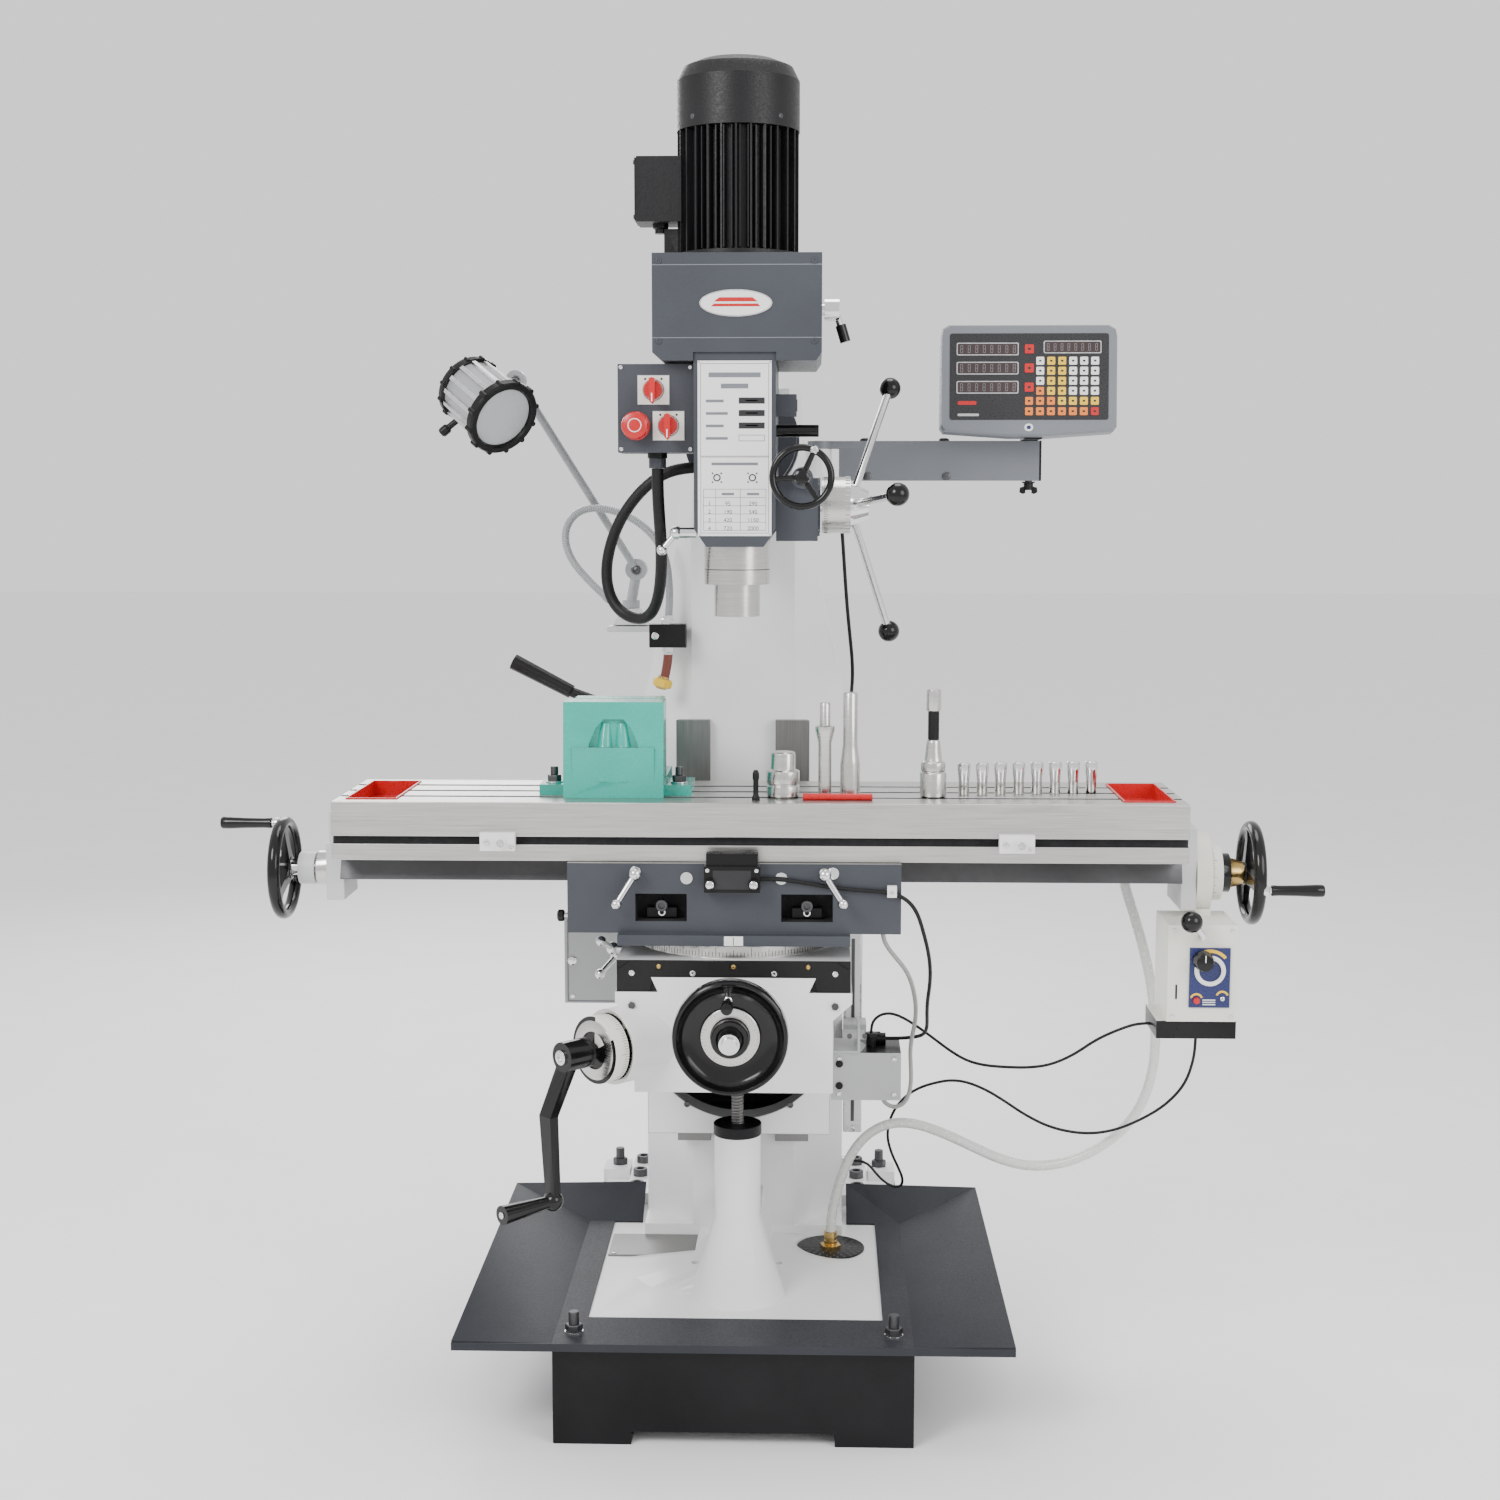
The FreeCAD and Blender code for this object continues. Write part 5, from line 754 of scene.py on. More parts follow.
# ---------------------------------------------------------------- saddle and carriage
def saddle_parts():
    dress("saddle", PALE, [
        (TURNED, lambda c, n: c.z > 731.2 and hypot(c.x, c.y) > 60),
        (GROUND, lambda c, n: c.z < 707 and abs(c.x) < 125),
        (RUBBER, lambda c, n: abs(c.y) > 159.5 and c.z < 731.5)], bevel=0.0014)
    p = Piece("saddle_trim", "saddle", "black_rubber", bevel=0.0008)
    for side in (-1, 1):
        y = side * 160
        p.prism("y", [(-172, 683), (-124, 683), (-118, 705), (118, 705), (124, 683), (172, 683), (172, 716),
                (150, 730), (-150, 730), (-172, 716)], (min(y, y + side * 3), max(y, y + side * 3)), RUBBER)
        for x in (-150, -60, 60, 150):
            p.screw((x, y + side * 3, 712), (0, side, 0), 4.5, CHROME, 2)
    for x in (-110, 110, 0):
        p.lathe((x, -163, 722), FRONT, [(4, 0), (4, 2), (2.4, 4), (0, 4.5)], BRASS, 16)
    p.done()
    p = Piece("swivel_scale", "saddle", "bright_steel", bevel=0.0)
    p.ticks((0, 0, 734), UP, FRONT, 152, 90, INK, arc=180, first=-90, long=(7, 10, 14),
            wide=0.8, rise=0.15, cyl=True)
    p.done()
    dress("swivel_carriage", NAVY, [
        (GROUND, lambda c, n: n.z > 0.99 and c.z > 871),
        # Painted shade: the recesses in the carriage's front take the painted-shade colour.
        (PAINTED_SHADE, lambda c,
                n: c.y > -139 and 784 < c.z < 827 and 69 < abs(c.x) < 147 and c.y < -99)], bevel=0.003)
    p = Piece("carriage_trim", "carriage", "blue_grey_paint", bevel=0.0006)
    for x in (-146, -70, 70, 146):
        p.disc((x, -140.2, 858 if abs(x) > 100 else 850), FRONT, 9, 1.4, CHROME, 28)
    for side in (-1, 1):
        p.block((side * 108 - 22, side * 108 + 22), (-122, -104), (788, 802), BLACK)
        p.screw((side * 108, -122, 806), FRONT, 9, DARK, 8)
        p.screw((side * 108, -112, 795), FRONT, 6, CHROME, 11)
    p.block((-14, 14), (-156.8, -156), (752, 766), LABEL)
    p.ticks((0, -156.9, 752), FRONT, UP, 13, 1, INK, long=(12, 12, 12), wide=1, rise=0.2)
    p.disc((-247, -100, 785), LEFT, 4, 10, CHROME, 16)
    p.lathe((-256, -100, 785), LEFT, [(7, 0), (9, 2), (9, 9), (6, 11), (0, 11)], GLOSSY, 20)
    p.block((226, 240), (-149.5, -140), (824, 841), LABEL)
    p.screw((233, -149.5, 832), FRONT, 3, CHROME, 2)
    p.done()
    dress("limit_switch", PLASTIC, bevel=0.0025)
    p = Piece("limit_switch_trim", "carriage", "black_plastic", bevel=0.0004)
    for x in (-34, 30):
        p.lathe((x, -173.6, 846), FRONT, [(6, 0), (6, 3), (4, 4), (0, 4)], CHROME, 20)
    p.block((-30, 26), (-166.4, -166), (838, 866), INK)
    p.screws((-38, 34), (-166,), (866,), FRONT, 3, CHROME, 1.5)
    for x in (-26, 22):
        p.lathe((x, -151, 889.5), UP, [(9, 0), (9, 1.5), (5, 1.6), (5, 0.4), (0, 0.4)], DARK, 20)
    p.done()


# ---------------------------------------------------------------- table
TABLE_SCREW_Z = 838


def table_parts():
    dress("table", GROUND, [
        # Painted shade: the groove along the table's front edge.
        (PAINTED_SHADE, lambda c, n: c.y < -116 and 896.5 < c.z < 908.5),
        (DARK, lambda c, n: 931 < c.z < 959.5 and abs(n.x) < 0.5 and any(abs(c.y - y) < 13 for y in (-63, 0,
                63))),
        (DARK, lambda c, n: c.z < 871.5),
        # Painted shade: the upward faces below the table top near its ends.
        (PAINTED_SHADE, lambda c,
                n: 935 < c.z < 959 and -585 < c.x < 655 and (c.x < -500 or c.x > 575) and n.z > 0.9 and
         abs(c.y) < 100)], bevel=0.0015)
    dress("end_brackets", PALE, [(TURNED, lambda c, n: c.x < -629)], bevel=0.004)
    dress("table_fittings", TURNED, [
        (RED, lambda c, n: c.x < -400 or c.x > 560),
        (LABEL, lambda c, n: c.z < 920 and c.y < -100),
        (PLASTIC, lambda c, n: 24 < c.x < 38 and c.z > 960),
        (RED, lambda c, n: 100 < c.x < 206 and abs(c.y + 88) < 6 and c.z < 971),
        (PLASTIC, lambda c, n: abs(c.x - 297) < 12 and 1047 < c.z < 1090),
        (CHROME, lambda c, n: 334 < c.x < 556 and c.z > 979)], bevel=0.0006)
    p = Piece("dog_trim", "table", "bright_steel", bevel=0.0005)
    for x in (-350, 416):
        p.lathe((x + 6, -151, 902), FRONT, [(6, 0), (6, 1.5), (2.6, 1.5), (2.6, 0.4), (0, 0.4)], CHROME, 24)
        p.screw((x - 16, -141, 902), FRONT, 4.5, CHROME, 2.4)
        p.screw((x + 21, -141, 896), FRONT, 3.4, CHROME, 2)
    p.done()
    dress("table_screw", CHROME, [
        (IVORY, lambda c, n: 717 < c.x < 738.5 and hypot(c.y, c.z - TABLE_SCREW_Z) > 30),
        (PALE, lambda c, n: c.x < -620 and hypot(c.y, c.z - TABLE_SCREW_Z) > 20),
        (GLOSSY, lambda c, n: 737 < c.x < 752.5 and hypot(c.y, c.z - TABLE_SCREW_Z) > 20),
        (BRASS, lambda c, n: 751 < c.x < 776)], bevel=0.0008)
    p = Piece("table_dial_marks", "table_drive", "bright_steel", bevel=0)
    p.ticks((719.5, 0, TABLE_SCREW_Z), RIGHT, FRONT, 42, 100, INK, long=(5, 7, 9),
            wide=0.5, rise=0.15, cyl=True)
    p.done()
    wheels()
    vise()
    power_feed_parts()


def wheels():
    p = remade("table_handwheels", "table_drive", 0.0006)
    for x, side, first in ((-703, -1, 96), (787, 1, 192)):
        at = (x, 0, TABLE_SCREW_Z)
        p.ring(at, RIGHT, [(71.2 + 8.6 * c, 8.6 * 1.12 * s) for c, s in around(16)], GLOSSY, 80)
        p.ring((x - 12, 0, TABLE_SCREW_Z), RIGHT, [(14.1, 0), (18, 0), (19, 1.5), (19, 22), (17, 24),
                (14.1, 24)], GLOSSY, 40)
        p.ring((x + side * 12, 0, TABLE_SCREW_Z), (side, 0, 0), [(14.1, 0), (17, 0), (17, 1.2),
                (14.1, 1.2)], CHROME, 40)
        for c, s in around(3, first):
            verts = []
            for far, wide, thick, lean in ((14, 12, 7, -4), (30, 9.5, 5.4, -3), (50, 9, 4.6, -1), (68, 11,
                    5.5, 0)):
                for w, t in ((-1, -1), (1, -1), (1, 1), (-1, 1)):
                    verts.append(D(x + side * lean + t * thick, c * far - s * w * wide,
                            TABLE_SCREW_Z + s * far + c * w * wide))
            p.add(verts, skin(4, 4), GLOSSY)
        a = radians(first)
        spot = (x + side * 4, cos(a) * 71.5, TABLE_SCREW_Z + sin(a) * 71.5)
        p.lathe(spot, (side, 0, 0), [(8, 0), (8, 8), (5, 9), (5, 13)], CHROME, 24)
        p.lathe((spot[0] + side * 12, *spot[1:]), (side, 0, 0), [(7, 0), (8.4, 1.5), (7.8, 12), (8.2, 40),
                (9.4, 66), (9.4, 76), (8, 79), (3.5, 80), (0, 80)], GLOSSY, 28)
    p.done()


def vise():
    dress("vise_body", TEAL, [(GROUND, lambda c, n: n.z > 0.99 and 1035 < c.z < 1037),
                              (GROUND, lambda c, n: n.y > 0.99 and -13 < c.y < -11)], bevel=0.004)
    p = Piece("vise_trim", "table", "teal_paint", bevel=0.003)
    p.hexagon((-183.5, -61, 986), FRONT, 24, 11, PLASTIC)
    p.block((-255, -112), (-12, -9.4), (1046, 1102), GROUND)
    for x in (-279, -88):
        p.disc((x, -20, 976), UP, 13, 2.5, CHROME, 28)
        p.hexagon((x, -20, 978), UP, 19, 10, DARK, 0.2)
        p.lathe((x, -20, 988), UP, [(6, 0), (6, 12), (5, 13)], DARK, 20)
    p.done()
    dress("vise_jaw", TEAL, [(GROUND, lambda c, n: n.z < -0.9)], bevel=0.003)
    p = Piece("vise_jaw_plate", "vise_jaw", "teal_paint", bevel=0.0006)
    p.block((-252, -115), (17.6, 20), (1046, 1100), GROUND)
    p.screws((-230, -137), (17.6,), (1073,), FRONT, 6, DARK, 0.8)
    p.done()
    dress("vise_screw", PLASTIC, [(TURNED, lambda c, n: hypot(c.x + 183.5, c.z - 1064) < 11.5)], bevel=0.0015)


def power_feed_parts():
    dress("power_feed", CREAM, [(PLASTIC, lambda c, n: c.z < 634.5 and n.z < 0.9),
                                (BLUE, lambda c, n: c.y < -119.9 and 655 < c.z < 747)], bevel=0.004)
    p = Piece("power_feed_trim", "table", "cream_plastic", bevel=0.0004)
    front = -123.0

    def arc(cx, cz, r, wide, first, last, mat, thick=0.5):
        steps = 14
        verts = []
        for k in range(steps + 1):
            a = radians(first + (last - first) * k / steps)
            for rr, y in ((r - wide / 2, front + 0.1), (r + wide / 2, front + 0.1), (r + wide / 2,
                    front - thick),
                          (r - wide / 2, front - thick)):
                verts.append(D(cx + rr * cos(a), y, cz + rr * sin(a)))
        p.add(verts, skin(steps + 1, 4), mat)

    p.ring((705, front, 712), FRONT, [(23, 0), (23, 2.5), (21.5, 3.6), (16.5, 3.6), (16.5, 0)], LABEL, 48)
    arc(705, 712, 29.5, 5, 40, 140, YELLOW)
    arc(686, 668, 8.5, 3, 20, 160, YELLOW)
    arc(724, 672, 8.5, 3, 20, 160, YELLOW)
    p.lathe((686, front, 667), FRONT, [(5, 0), (5, 4), (4, 5), (0, 5)], RED, 20)
    p.lathe((724, front, 670), FRONT, [(3.4, 0), (3.4, 3), (1.8, 4), (1.6, 9), (0, 9)], CHROME, 16)
    for k in range(3):
        p.block((695, 714), (front - 0.4, front), (660 + k * 3.4, 661.6 + k * 3.4), LABEL)
    p.screws((651, 738), (-120,), (642, 772), FRONT, 3.2, CHROME, 1.6)
    p.block((655, 658), (-120.5, -120), (668, 690), INK)
    p.done()
    p = remade("power_feed_knob", "power_feed_knob", 0.0004)
    p.lathe((694, -125, 728), FRONT, [(15, 0), (15, 5), (13.5, 8), (13, 20), (12, 22), (8, 23),
            (0, 23)], GLOSSY, 40)
    p.block((693.2, 694.8), (-148.4, -147.6), (729, 740), LABEL)
    p.rod((694, -126, 728), (694, -111, 728), 3.9, CHROME)
    p.done()
    dress("power_feed_lever", GLOSSY, [(CHROME, lambda c, n: (c - Vector((672, -148, 790))).length > 16.6)],
            bevel=0.0004)


# ---------------------------------------------------------------- head
def head_parts():
    dress("head_casting", NAVY, [
        (GLOSSY, lambda c, n: hypot(c.y + 30, c.z - 1507) < 10 and c.x > 61)], bevel=0.003)
    dress("gearbox_housing", NAVY, bevel=0.004)
    p = Piece("head_trim", "head", "blue_grey_paint", bevel=0.0005)
    p.disc((60, -30, 1397), RIGHT, 4, 1, CHROME, 16)
    p.lathe((90, -36, 1544), RIGHT, [(9, 0), (9, 1.2), (5, 1.2), (5, 0.2), (0, 0.2)], DARK, 24)
    p.screws((122,), (-46, 96), (1356, 1424), RIGHT, 5, DARK, 3)
    p.screws((-110, 116), (-100,), (1634, 1748), FRONT, 4.5, NAVY, 1.6)
    for z in (1638, 1742):
        p.block((-120, 127), (-100.5, -100), (z, z + 1.4), PATCH)
    p.done()
    nameplate()
    badge()
    motor_look()
    dress("drive_sleeve", DARK, bevel=0.0003)
    dress("motor_rotor", DARK, bevel=0.0003)
    dress("quill", TURNED, bevel=0.0012)
    dress("spindle", CHROME, [(TURNED, lambda c, n: abs(hypot(c.x, c.y) - 34.5) < 0.6)], bevel=0.0012)
    # Painted shade: a thin dark band stands for the shade in the nut's slots.
    p = Piece("quill_nut_slots", "quill", "ground_steel", bevel=0)
    p.ring((0, 0, 1300), UP, [(49.5, 0), (49.75, 0.2), (49.75, 1.2), (49.5, 1.4)], DARK, 72)
    p.done()
    feed()
    switches()


def nameplate():
    p = Piece("nameplate", "head", "cast_white", bevel=0.0004)
    y = -95.0
    p.block((-54, 54), (y - 1.4, y), (1352, 1606), LABEL)

    def line(x0, x1, z0, z1, mat=INK):
        p.block((x0, x1), (y - 1.7, y - 1.3), (z0, z1), mat)
    for x in (-50, 49.4):
        line(x, x + 0.6, 1356, 1602)
    for z in (1356, 1601.4, 1468, 1466.6):
        line(-50, 50, z, z + 0.6)
    for x0, x1, z in ((-38, 38, 1582), (-20, 20, 1566)):
        line(x0, x1, z, z + 7, PATCH)
    for k in range(4):
        z = 1544 - 18 * k
        line(-42, -16 + (k % 2) * 6, z + 2, z + 6, PATCH)
        if k < 3:
            line(6, 44, z, z + 9)
            line(16, 34, z + 3.4, z + 5.6, LABEL)
        else:
            for x0, x1, z0, z1 in ((6, 44, z, z + 0.7), (6, 44, z + 8.3, z + 9), (6, 6.7, z, z + 9), (43.3,
                    44, z, z + 9)):
                line(x0, x1, z0, z1)
    line(-34, 34, 1455, 1459, PATCH)
    for cx in (-26, 26):
        p.ring((cx, y - 1.3, 1437), FRONT, [(5.5, 0), (5.5, 0.5), (3.6, 0.5), (3.6, 0)], INK, 28)
        for c, s in around(4, 45):
            p.disc((cx + 9 * c, y - 1.3, 1437 + 9 * s), FRONT, 1.3, 0.5, INK, 12)
    for k in range(6):
        line(-46, 46, 1420 - 12 * k, 1420.5 - 12 * k)
    for x in (-46, -28, 8, 45.5):
        line(x, x + 0.5, 1360, 1420.5)
    for row, values in enumerate((("", "L", "H"), ("1", "95", "290"), ("2", "190", "540"), ("3", "420",
            "1150"),
                                  ("4", "720", "2000"))):
        for x, text in zip((-37, -10, 27), values):
            if text and row:
                number(text, x, y - 1.35, 1411 - 12 * row, 6.2)
            elif text:
                line(x - 9, x + 9, 1411.5 - 12 * row, 1415 - 12 * row, PATCH)
    for x, z in ((-51.6, 1354), (51.6, 1354), (-51.6, 1604), (51.6, 1604)):
        p.lathe((x, y - 1.4, z), FRONT, [(1.6, 0), (1.4, 0.8), (0, 1)], CHROME, 12)
    p.done()


numbers = []


def number(text, x, y, z, size):
    """A printed number of the nameplate, standing up in a plane across Y."""
    curve = bpy.data.curves.new("number_%02d" % len(numbers), "FONT")
    curve.body, curve.size, curve.align_x, curve.align_y = text, size / 1000 * 1.35, "CENTER", "CENTER"
    curve.extrude = 0.00012
    curve.materials.append(INK)
    obj = placed("number_%02d" % len(numbers), curve)
    obj.location = D(x, y, z)
    obj.rotation_euler = (pi / 2, 0, 0)
    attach(obj, "head")
    numbers.append(obj)


def badge():
    p = Piece("gearbox_badge", "head", "cast_white", bevel=0.0003)
    for wide, high, low, top, mat in ((53, 19.5, 0, 1.6, ALU), (51, 17.6, 1.6, 2.0, LABEL)):
        p.prism("y", [(2 + wide * c, 1688 + high * s) for c, s in around(56)], (-100 - top, -100 - low), mat)
    p.prism("y", [(-34, 1683), (38, 1683), (34, 1687), (-30, 1687)], (-102.3, -101.9), RED)
    p.prism("y", [(-30, 1690), (34, 1690), (26, 1696), (-22, 1696)], (-102.3, -101.9), RED)
    p.done()


MOTOR_Y = 58        # the motor's axis, behind the spindle


def motor_look():
    dress("motor", MOTOR, bevel=0.0012)
    p = Piece("motor_trim", "head", "black_paint", bevel=0.0008)
    for c, s in around(12, 228, 91.2) + around(12, 48, 91.2):
        corners = [(c * f - s * w, MOTOR_Y + s * f + c * w) for f, w in ((78, -1.4), (91.5, -0.9),
                (91.5, 0.9), (78, 1.4))]
        p.prism("z", corners, (1776, 1952), MOTOR)
    for c, s in around(4, 45):
        p.lathe((92 * c, MOTOR_Y + 92 * s, 1968), (c, s, 0), [(4, 0), (4, 1), (2, 1.6), (0, 1.6)], DARK, 16)
    # Painted shade: the fan cover's slots are marks in the painted-shade colour.
    slots(p, (0, MOTOR_Y), ((22, 7), (32, 10), (42, 14), (52, 17)), 2.6, 2.2, (2057.6, 2057.95), PAINTED_SHADE)
    p.block((-155, -149), (24, 92), (1822, 1914), MOTOR)
    p.screws((-155,), (30, 86), (1828, 1908), LEFT, 3.4, DARK, 2)
    p.lathe((-118, MOTOR_Y, 1822), DOWN, [(12, 0), (12, 8), (9, 10), (9, 16)], PLASTIC, 20)
    p.lathe((0, MOTOR_Y, 1760), UP, [(93.4, 0), (93.4, 4), (90, 6)], MOTOR, 72)
    p.done()


FEED_Y, FEED_Z = 62, 1397      # the shaft of the three feed handles
FINE_X, FINE_Z = 99, 1437      # the shaft of the fine feed wheel


def feed():
    hubs = [Vector((236, FEED_Y + c * 222, FEED_Z + s * 222)) for c, s in around(3, 176, -360)]
    dress("feed_handles", CHROME, [
        (GLOSSY, lambda c, n: any((c - h).length < 17.4 for h in hubs)),
        (TURNED, lambda c, n: 127 < c.x < 172.5 and hypot(c.y - FEED_Y, c.z - FEED_Z) > 30)], bevel=0.0008)
    p = Piece("feed_dial_marks", "feed_handles", "bright_steel", bevel=0)
    p.ticks((131, FEED_Y, FEED_Z), RIGHT, FRONT, 43, 90, INK, long=(6, 8, 11), wide=0.6, rise=0.15, cyl=True)
    for c, s in around(36):
        p.disc((164, FEED_Y + 43 * c, FEED_Z + 43 * s), RIGHT, 1.1, 7, TURNED, 8)
    p.done()
    p = remade("fine_feed_wheel", "fine_feed_wheel", 0.0005)
    p.torus((FINE_X, -170, FINE_Z), FRONT, 42, 5, GLOSSY, 64, 14)
    spokes = around(3, 65)
    for c, s in spokes:
        p.rod((FINE_X + 8 * c, -166, FINE_Z + 8 * s), (FINE_X + 40 * c, -170, FINE_Z + 40 * s), 4.6, GLOSSY,
                3.8, 16)
    p.lathe((FINE_X, -152, FINE_Z), FRONT, [(12, 0), (12, 22), (10.5, 26), (6, 28), (0, 28)], GLOSSY, 32)
    p.disc((FINE_X, -36, FINE_Z), FRONT, 6.9, 117, CHROME, 24)
    c, s = spokes[0]
    p.lathe((FINE_X + 42 * c, -172, FINE_Z + 42 * s), FRONT, [(4, 0), (4, 6), (5.6, 8), (6, 20), (6, 28),
            (4.4, 31), (0, 32)], CHROME, 20)
    p.done()
    dress("quill_lock", CHROME, bevel=0.0005)
    dress("speed_selector", CHROME, [(GLOSSY, lambda c, n: c.z < 1666)], bevel=0.0006)


def switches():
    dress("switch_box", NAVY, bevel=0.002)
    p = Piece("switch_plates", "head", "red_plastic", bevel=0.0008)
    for x, z in ((-120, 1565), (-98, 1513)):
        p.block((x - 24, x + 24), (-76.2, -75), (z - 22, z + 22), PATCH)
        p.block((x - 23, x + 23), (-77.4, -76.2), (z - 21, z + 21), CREAM)
        p.ring((x, -77.4, z), FRONT, [(16, 0), (16, 0.6), (14.6, 0.6), (14.6, 0)], PATCH, 40)
        for k in (-1, 0, 1):
            p.block((x + k * 12 - 1.5, x + k * 12 + 1.5), (-77.8, -77.3), (z + 14.5, z + 17.5), INK)
    p.lathe((-146, -75, 1513), FRONT, [(21, 0), (21, 1), (15, 2.6), (7, 2.6)], RED, 40)
    p.disc((-146, -77, 1513), FRONT, 12, 14, PLASTIC, 32)
    p.screws((-168, -66), (-75,), (1479, 1598), FRONT, 3, CHROME, 1.4)
    p.ring((-118, -30, 1474), DOWN, [(15, 0), (15, 7), (13, 8), (13, 14), (11, 21), (9.4, 22),
            (9.4, 0)], PLASTIC, 12)
    p.done()
    for node, x, z in (("switch_upper", -120, 1565), ("switch_lower", -98, 1513)):
        p = remade(node, node, 0.0006)
        p.lathe((x, -78, z), FRONT, [(13.6, 0), (14, 2), (14, 13), (13, 16), (0, 16)], RED, 40)
        p.prism("y", [(x - 4.5, z + 15), (x - 4, z - 17), (x, z - 21), (x + 4, z - 17), (x + 4.5, z + 15),
                (x, z + 17)], (-111.5, -93), RED)
        p.block((x - 0.9, x + 0.9), (-111.9, -111.4), (z - 18, z - 6), LABEL)
        p.rod((x, -79, z), (x, -64, z), 5.8, CHROME)
        p.done()
    p = remade("stop_button", "stop_button", 0.0005)
    p.lathe((-146, -92, 1513), FRONT, [(15, -1), (19, 0), (20, 2), (20, 6), (18.5, 9.5), (14, 11.4),
            (0, 12)], RED, 48)
    p.torus((-146, -103.4, 1513), FRONT, 9.5, 0.8, LABEL, 40, 8)
    p.rod((-146, -93, 1513), (-146, -63, 1513), 5.8, PLASTIC)
    p.done()


# ---------------------------------------------------------------- readout and lamp
def readout():
    dress("readout_arm", PATCH, bevel=0.0015)
    p = Piece("readout_arm_trim", "readout_arm", "aluminium", bevel=0.0006)
    for x in (200, 330):
        p.lathe((x, 316, 1502), UP, [(9, 0), (8.5, 3), (5, 5), (0, 5)], PLASTIC, 20)
        p.lathe((x + 4, 304, 1444), FRONT, [(7, 0), (7, 2), (4, 3), (0, 3)], DARK, 20)
    p.block((486, 489.6), (303.6, 328.4), (1436.6, 1502.4), PLASTIC)
    p.done()
    p = remade("readout_console", "readout_console", 0.0012)
    lean = atan2(16, 179)
    up, out = Vector((0, sin(lean), cos(lean))), Vector((0, -cos(lean), sin(lean)))
    origin = Vector((460, 222, 1507))

    def put(u, v, w):
        return D(*(origin + Vector((u, 0, 0)) + up * v + out * w))

    def slab(points, low, high, mat):
        p.add([put(u, v, w) for w in (low, high) for u, v in points], skin(2, len(points)), mat)

    def rounded(u0, u1, v0, v1, r, steps=5):
        pts = []
        for cu, cv, first in ((u1 - r, v1 - r, 0), (u0 + r, v1 - r, 90), (u0 + r, v0 + r, 180), (u1 - r,
                v0 + r, 270)):
            for k in range(steps + 1):
                a = radians(first + 90 * k / steps)
                pts.append((cu + r * cos(a), cv + r * sin(a)))
        return pts

    def key(u, v, wide, high, mat, mark=None):
        slab(rounded(u - wide / 2, u + wide / 2, v - high / 2, v + high / 2, 1.6, 3), 0.2, 1.6, mat)
        if mark:
            slab(rounded(u - wide * 0.16, u + wide * 0.16, v - high * 0.12, v + high * 0.12, 0.6, 2), 1.5,
                    1.9, mark)

    outline = [(-141.5, 16), (-136, 8), (-30, 0.5), (30, 0.5), (136, 8), (141.5, 16)] + \
        [(141.5, 160), (139, 172), (128, 178.6), (-128, 178.6), (-139, 172), (-141.5, 160)]
    slab(outline, -44, -8, PATCH)
    inner = [(u * 0.985, 90 + (v - 90) * 0.97) for u, v in outline]
    verts = [put(u, v, -8) for u, v in outline] + [put(u, v, -0.6) for u, v in inner]
    p.add(verts, skin(2, len(outline)), PATCH)
    slab(rounded(-127, 127, 26, 164, 4), -0.7, 0.2, FACE)
    for v in (139, 108.5, 78):
        slab(rounded(-116, -17, v - 10, v + 10, 2.5), 0.1, 0.7, ALU)
        slab(rounded(-114.6, -18.4, v - 8.6, v + 8.6, 2), 0.6, 0.95, SCREEN)
        key(0, v, 14.5, 14.5, RED, INK)
        for k in range(8):
            u = -108 + k * 12
            digit(slab, u, v, 4.2, 6.2, 0.9)
    slab(rounded(23, 115, 132, 152, 2.5), 0.1, 0.7, ALU)
    slab(rounded(24.4, 113.6, 133.4, 150.6, 2), 0.6, 0.95, SCREEN)
    for k in range(8):
        digit(slab, 30 + k * 11, 142, 3.9, 5.8, 0.9)
    rows = ["WYYWWW", "WYYWWW", "WYYWWW", "OYYWWW"]
    paint = {"W": LABEL, "Y": YELLOW, "O": ORANGE, "R": RED}
    for r, row in enumerate(rows):
        for k, c in enumerate(row):
            key(17.5 + k * 17.5, 120 - r * 16, 12.6, 12.6, paint[c], INK)
    for r, row in enumerate(("OOOYYYY", "OOOOOOR")):
        for k, c in enumerate(row):
            key(k * 17.5, 56 - r * 16.5, 12.6, 12.6, paint[c], INK)
    slab(rounded(-114, -84, 50, 56, 2), 0.1, 0.5, RED)
    slab(rounded(-114, -80, 32, 36, 1), 0.1, 0.4, GREY)
    slab(rounded(-7, 7, 8, 20, 5.9), -0.8, -0.2, LABEL)
    slab(rounded(-3.5, 3.5, 11, 17, 2.9), -0.3, 0.1, BLUE)
    # Painted shade: dark slabs on the console's back stand for the shade inside its vent slots.
    for k in range(9):
        slab(rounded(-60 + k * 14, -52 + k * 14, 60, 120, 3), -44.6, -43.9, PAINTED_SHADE)
    p.lathe((470, 316, 1502.3), UP, [(15, 0), (15, 4), (12, 12), (10, 18)], PLASTIC, 28)
    p.prism("x", [(246, 1503), (328, 1503), (328, 1512), (290, 1519), (246, 1519)], (456, 484), PLASTIC)
    p.rod((470, 316, 1512), (470, 316, 1428), 5.9, DARK)
    p.lathe((470, 316, 1435.6), DOWN, [(11, 0), (11, 2), (8, 3), (8, 14)], PLASTIC, 24)
    for s in (-1, 1):
        p.prism("y", [(470 + s * 5, 1428), (470 + s * 14, 1426), (470 + s * 15, 1418), (470 + s * 9, 1415),
                (470 + s * 5, 1417)], (313.5, 318.5), PLASTIC)
    p.done()


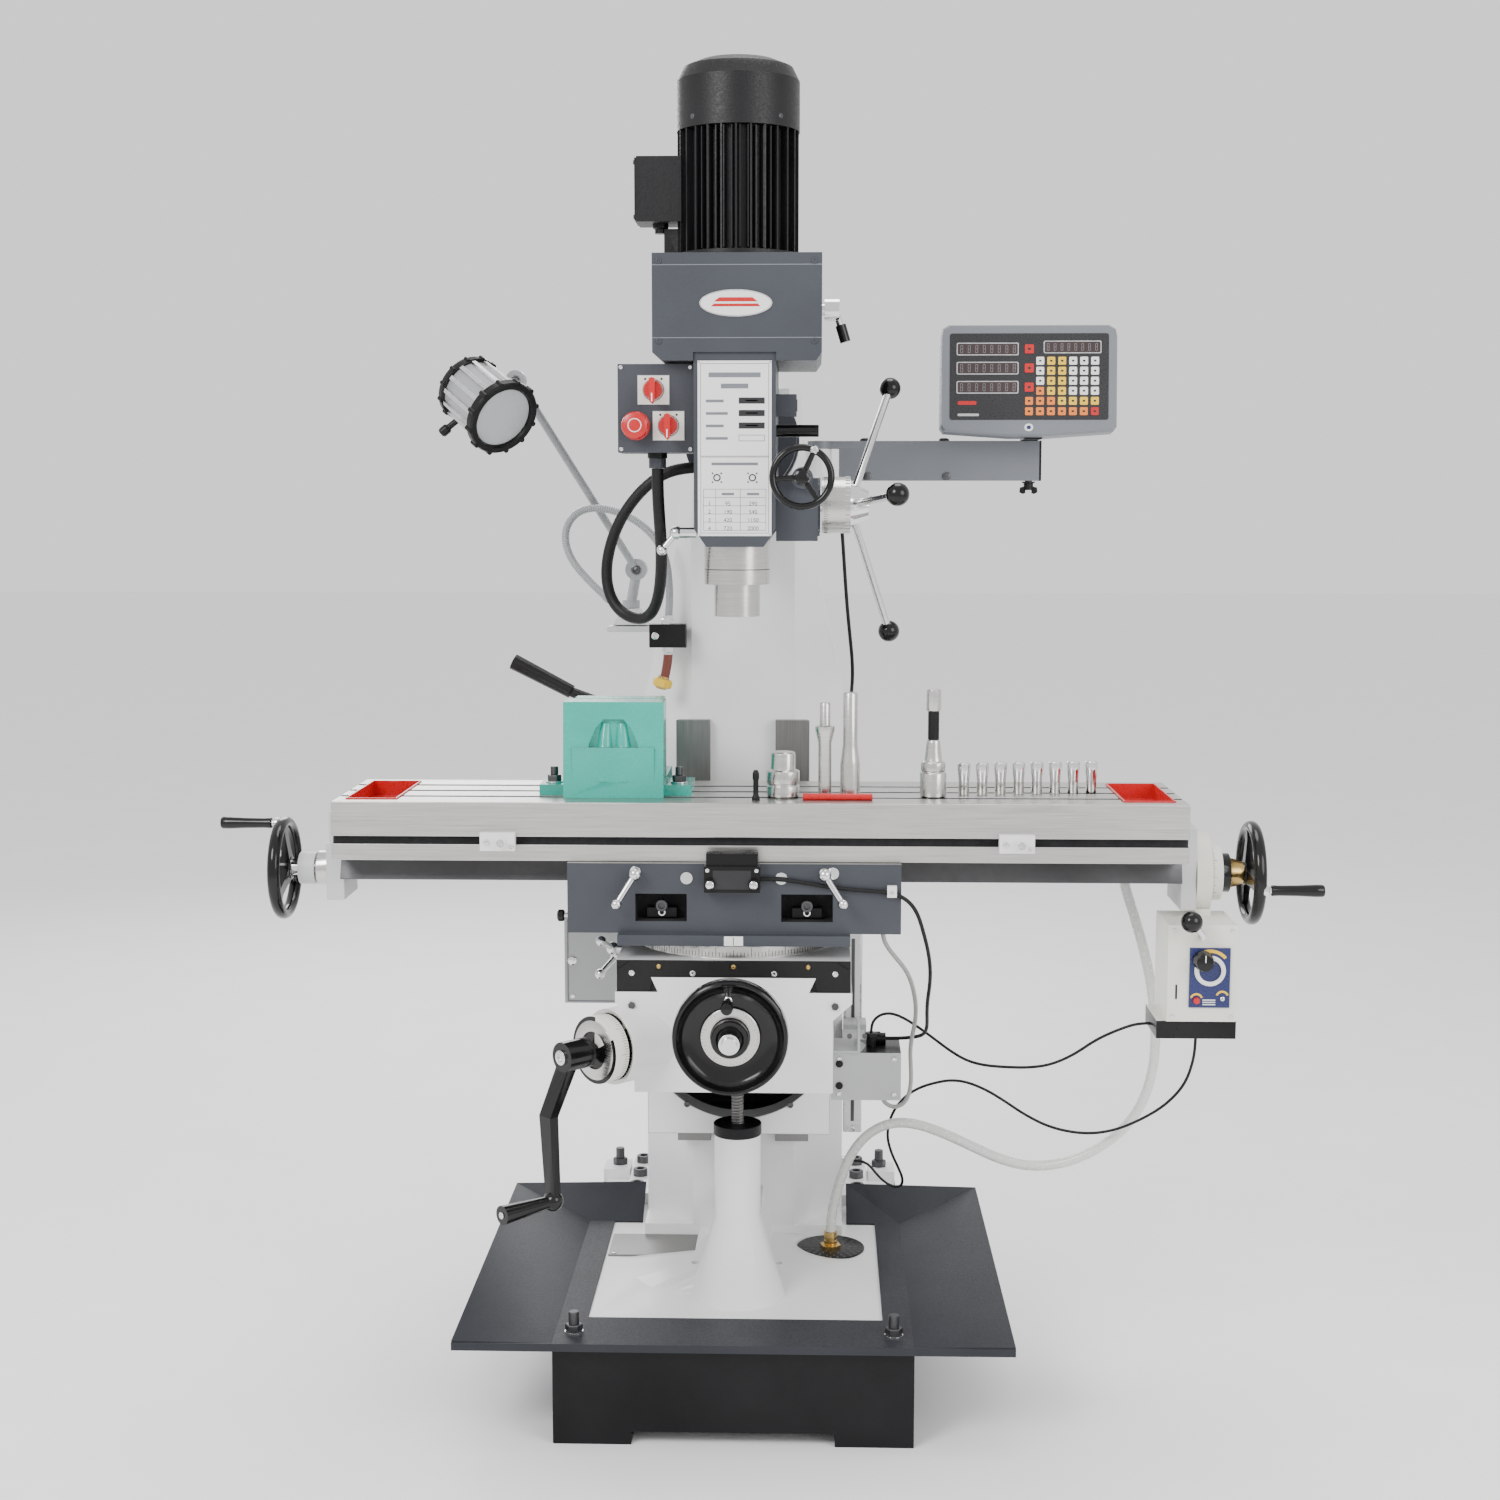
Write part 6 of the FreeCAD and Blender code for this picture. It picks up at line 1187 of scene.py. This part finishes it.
def digit(slab, u, v, wide, high, w):
    """The faint bars of a display digit that is switched off."""
    t = 0.7
    for a, b, c, d in ((-wide / 2, wide / 2, high, high - t), (-wide / 2, wide / 2, t / 2, -t / 2),
                       (-wide / 2, wide / 2, -high + t, -high), (-wide / 2, -wide / 2 + t, high, 0),
                       (wide / 2 - t, wide / 2, high, 0), (-wide / 2, -wide / 2 + t, 0, -high),
                       (wide / 2 - t, wide / 2, 0, -high)):
        slab([(u + a, v + d), (u + b, v + d), (u + b, v + c), (u + a, v + c)], w, w + 0.12, PATCH)


LAMP_FACING = Vector((0.62, -0.62, -0.48)).normalized()
LAMP_KNEE = (-352, 150, 1592)
LAMP_HEAD = Vector((-400, 96, 1560))


def lamp():
    dress("lamp_base", PALE, [(PLASTIC, lambda c, n: c.z > 1223)], bevel=0.0015)
    dress("lamp_lower_arm", LAMP, bevel=0.0008)
    dress("lamp_upper_arm", LAMP, bevel=0.0008)
    p = Piece("lamp_joint_screws", "lamp_upper_arm", "aluminium", bevel=0.0004)
    p.screw((-181, 317, 1290), FRONT, 8, DARK, 4)
    p.done()
    p = remade("lamp_head", "lamp_head", 0.0005)
    f, c = LAMP_FACING, LAMP_HEAD
    p.lathe(c, f, [(0, -46), (20, -46), (22, -44), (40, -43), (46, -40), (47.5, -34), (48.5, 47), (50, 50),
            (48, 50), (46, -30), (0, -34)], LAMP, 64)
    p.ring(c, f, [(44, -44), (52, -44), (53, -42), (53, -34), (50, -32), (44, -32)], PLASTIC, 48)
    p.ring(c, f, [(47.5, 50), (57, 50), (60, 52), (60, 63), (58, 66), (50, 66), (47.5, 62)], PLASTIC, 64)
    side = f.orthogonal().normalized()
    other = f.cross(side)
    for cosine, sine in around(12):
        out = side * cosine + other * sine
        p.lathe(c + f * 58 + out * 59, f, [(4, -7), (4, 7.5)], PLASTIC, 12)
        p.lathe(c - f * 38 + out * 52, f, [(3.4, -5), (3.4, 5)], PLASTIC, 12)
    for cosine, sine in around(14):
        out = side * cosine + other * sine
        over = f.cross(out)
        verts = [D(*(c + f * far + out * (up * (47 + (far + 31) * 0.013)) + over * wide * 4.4))
                 for far in (-31, 48) for up, wide in ((0.98, -1), (1.1, -0.8), (1.1, 0.8), (0.98, 1))]
        p.add(verts, skin(2, 4), ALU)
    p.lathe(c, f, [(47.6, 57), (47.6, 60), (0, 61)], GLASS, 48)
    p.lathe(c, f, [(44, 40), (36, 10), (18, -16), (0, -22), (0, -24), (20, -18), (38, 9),
            (45.5, 40)], CHROME, 48)
    p.lathe(c, f, [(0, -20), (9, -16), (11, 0), (8, 14), (0, 18)], LABEL, 24)
    kx, ky, kz = LAMP_KNEE
    p.rod((kx, ky - 27, kz), (kx, ky - 13, kz), 15, LAMP)
    p.rod((kx, ky - 20, kz), c + (Vector((kx, ky - 20, kz)) - c).normalized() * 44, 9, LAMP)
    p.screw((kx, ky - 27, kz), FRONT, 7, DARK, 4)
    h = c + Vector((-66, 6, -52))
    far = (h - c).normalized()
    p.rod(c + far * 44, h, 5, PLASTIC, 5)
    p.lathe(h - far * 16, far, [(6, 0), (8, 3), (8, 13), (6, 16), (0, 16)], PLASTIC, 20)
    p.done()
    p = remade("coolant_gooseneck", "base", 0.0008)
    p.block((-152, -92), (222, 252), (1166, 1204), PLASTIC)
    p.block((-140, -104), (251, 286), (1172, 1198), PLASTIC)
    p.lathe((-122, 236, 1204), UP, [(12, 0), (12, 7), (9, 9), (9, 14)], CHROME, 6)
    p.screw((-142, 222, 1185), FRONT, 6, CHROME, 3)
    neck = [(-122, 236, 1200), (-118, 236, 1262), (-126, 236, 1322), (-161, 236, 1366), (-214, 236, 1392),
            (-265, 236, 1392), (-292, 236, 1358), (-284, 236, 1311), (-243, 236, 1265), (-214, 236, 1240)]
    p.tube(neck, 6.1, LAMP, per=10, ribs=0.3, pitch=3.6)
    p.lathe((-225, 236, 1249.5), (29, 0, -25), [(7.4, 0), (7.4, 10), (5.8, 12), (4.8, 24), (0, 24)], LAMP, 20)
    p.tube([(-122, 236, 1168), (-122, 236, 1148), (-126, 236, 1124), (-131, 236, 1103)], 7.6, RUST, per=8,
            steps=20)
    p.lathe((-122, 236, 1166), DOWN, [(10, 0), (10, 8), (8.4, 9), (8.4, 12)], CHROME, 20)
    axis = Vector((-4, 0, -16))
    p.ring((-130, 236, 1114), axis, [(14, 0), (17, 2), (17, 12), (14, 14), (8, 14), (8, 0)], YELLOW, 6)
    p.lathe((-130, 236, 1114), axis, [(9, -4), (9, 17), (6, 17.4)], BRASS, 20)
    p.done()


camera()
studio()
cords()
stand()
column_parts()
knee_parts()
saddle_parts()
table_parts()
head_parts()
readout()
lamp()
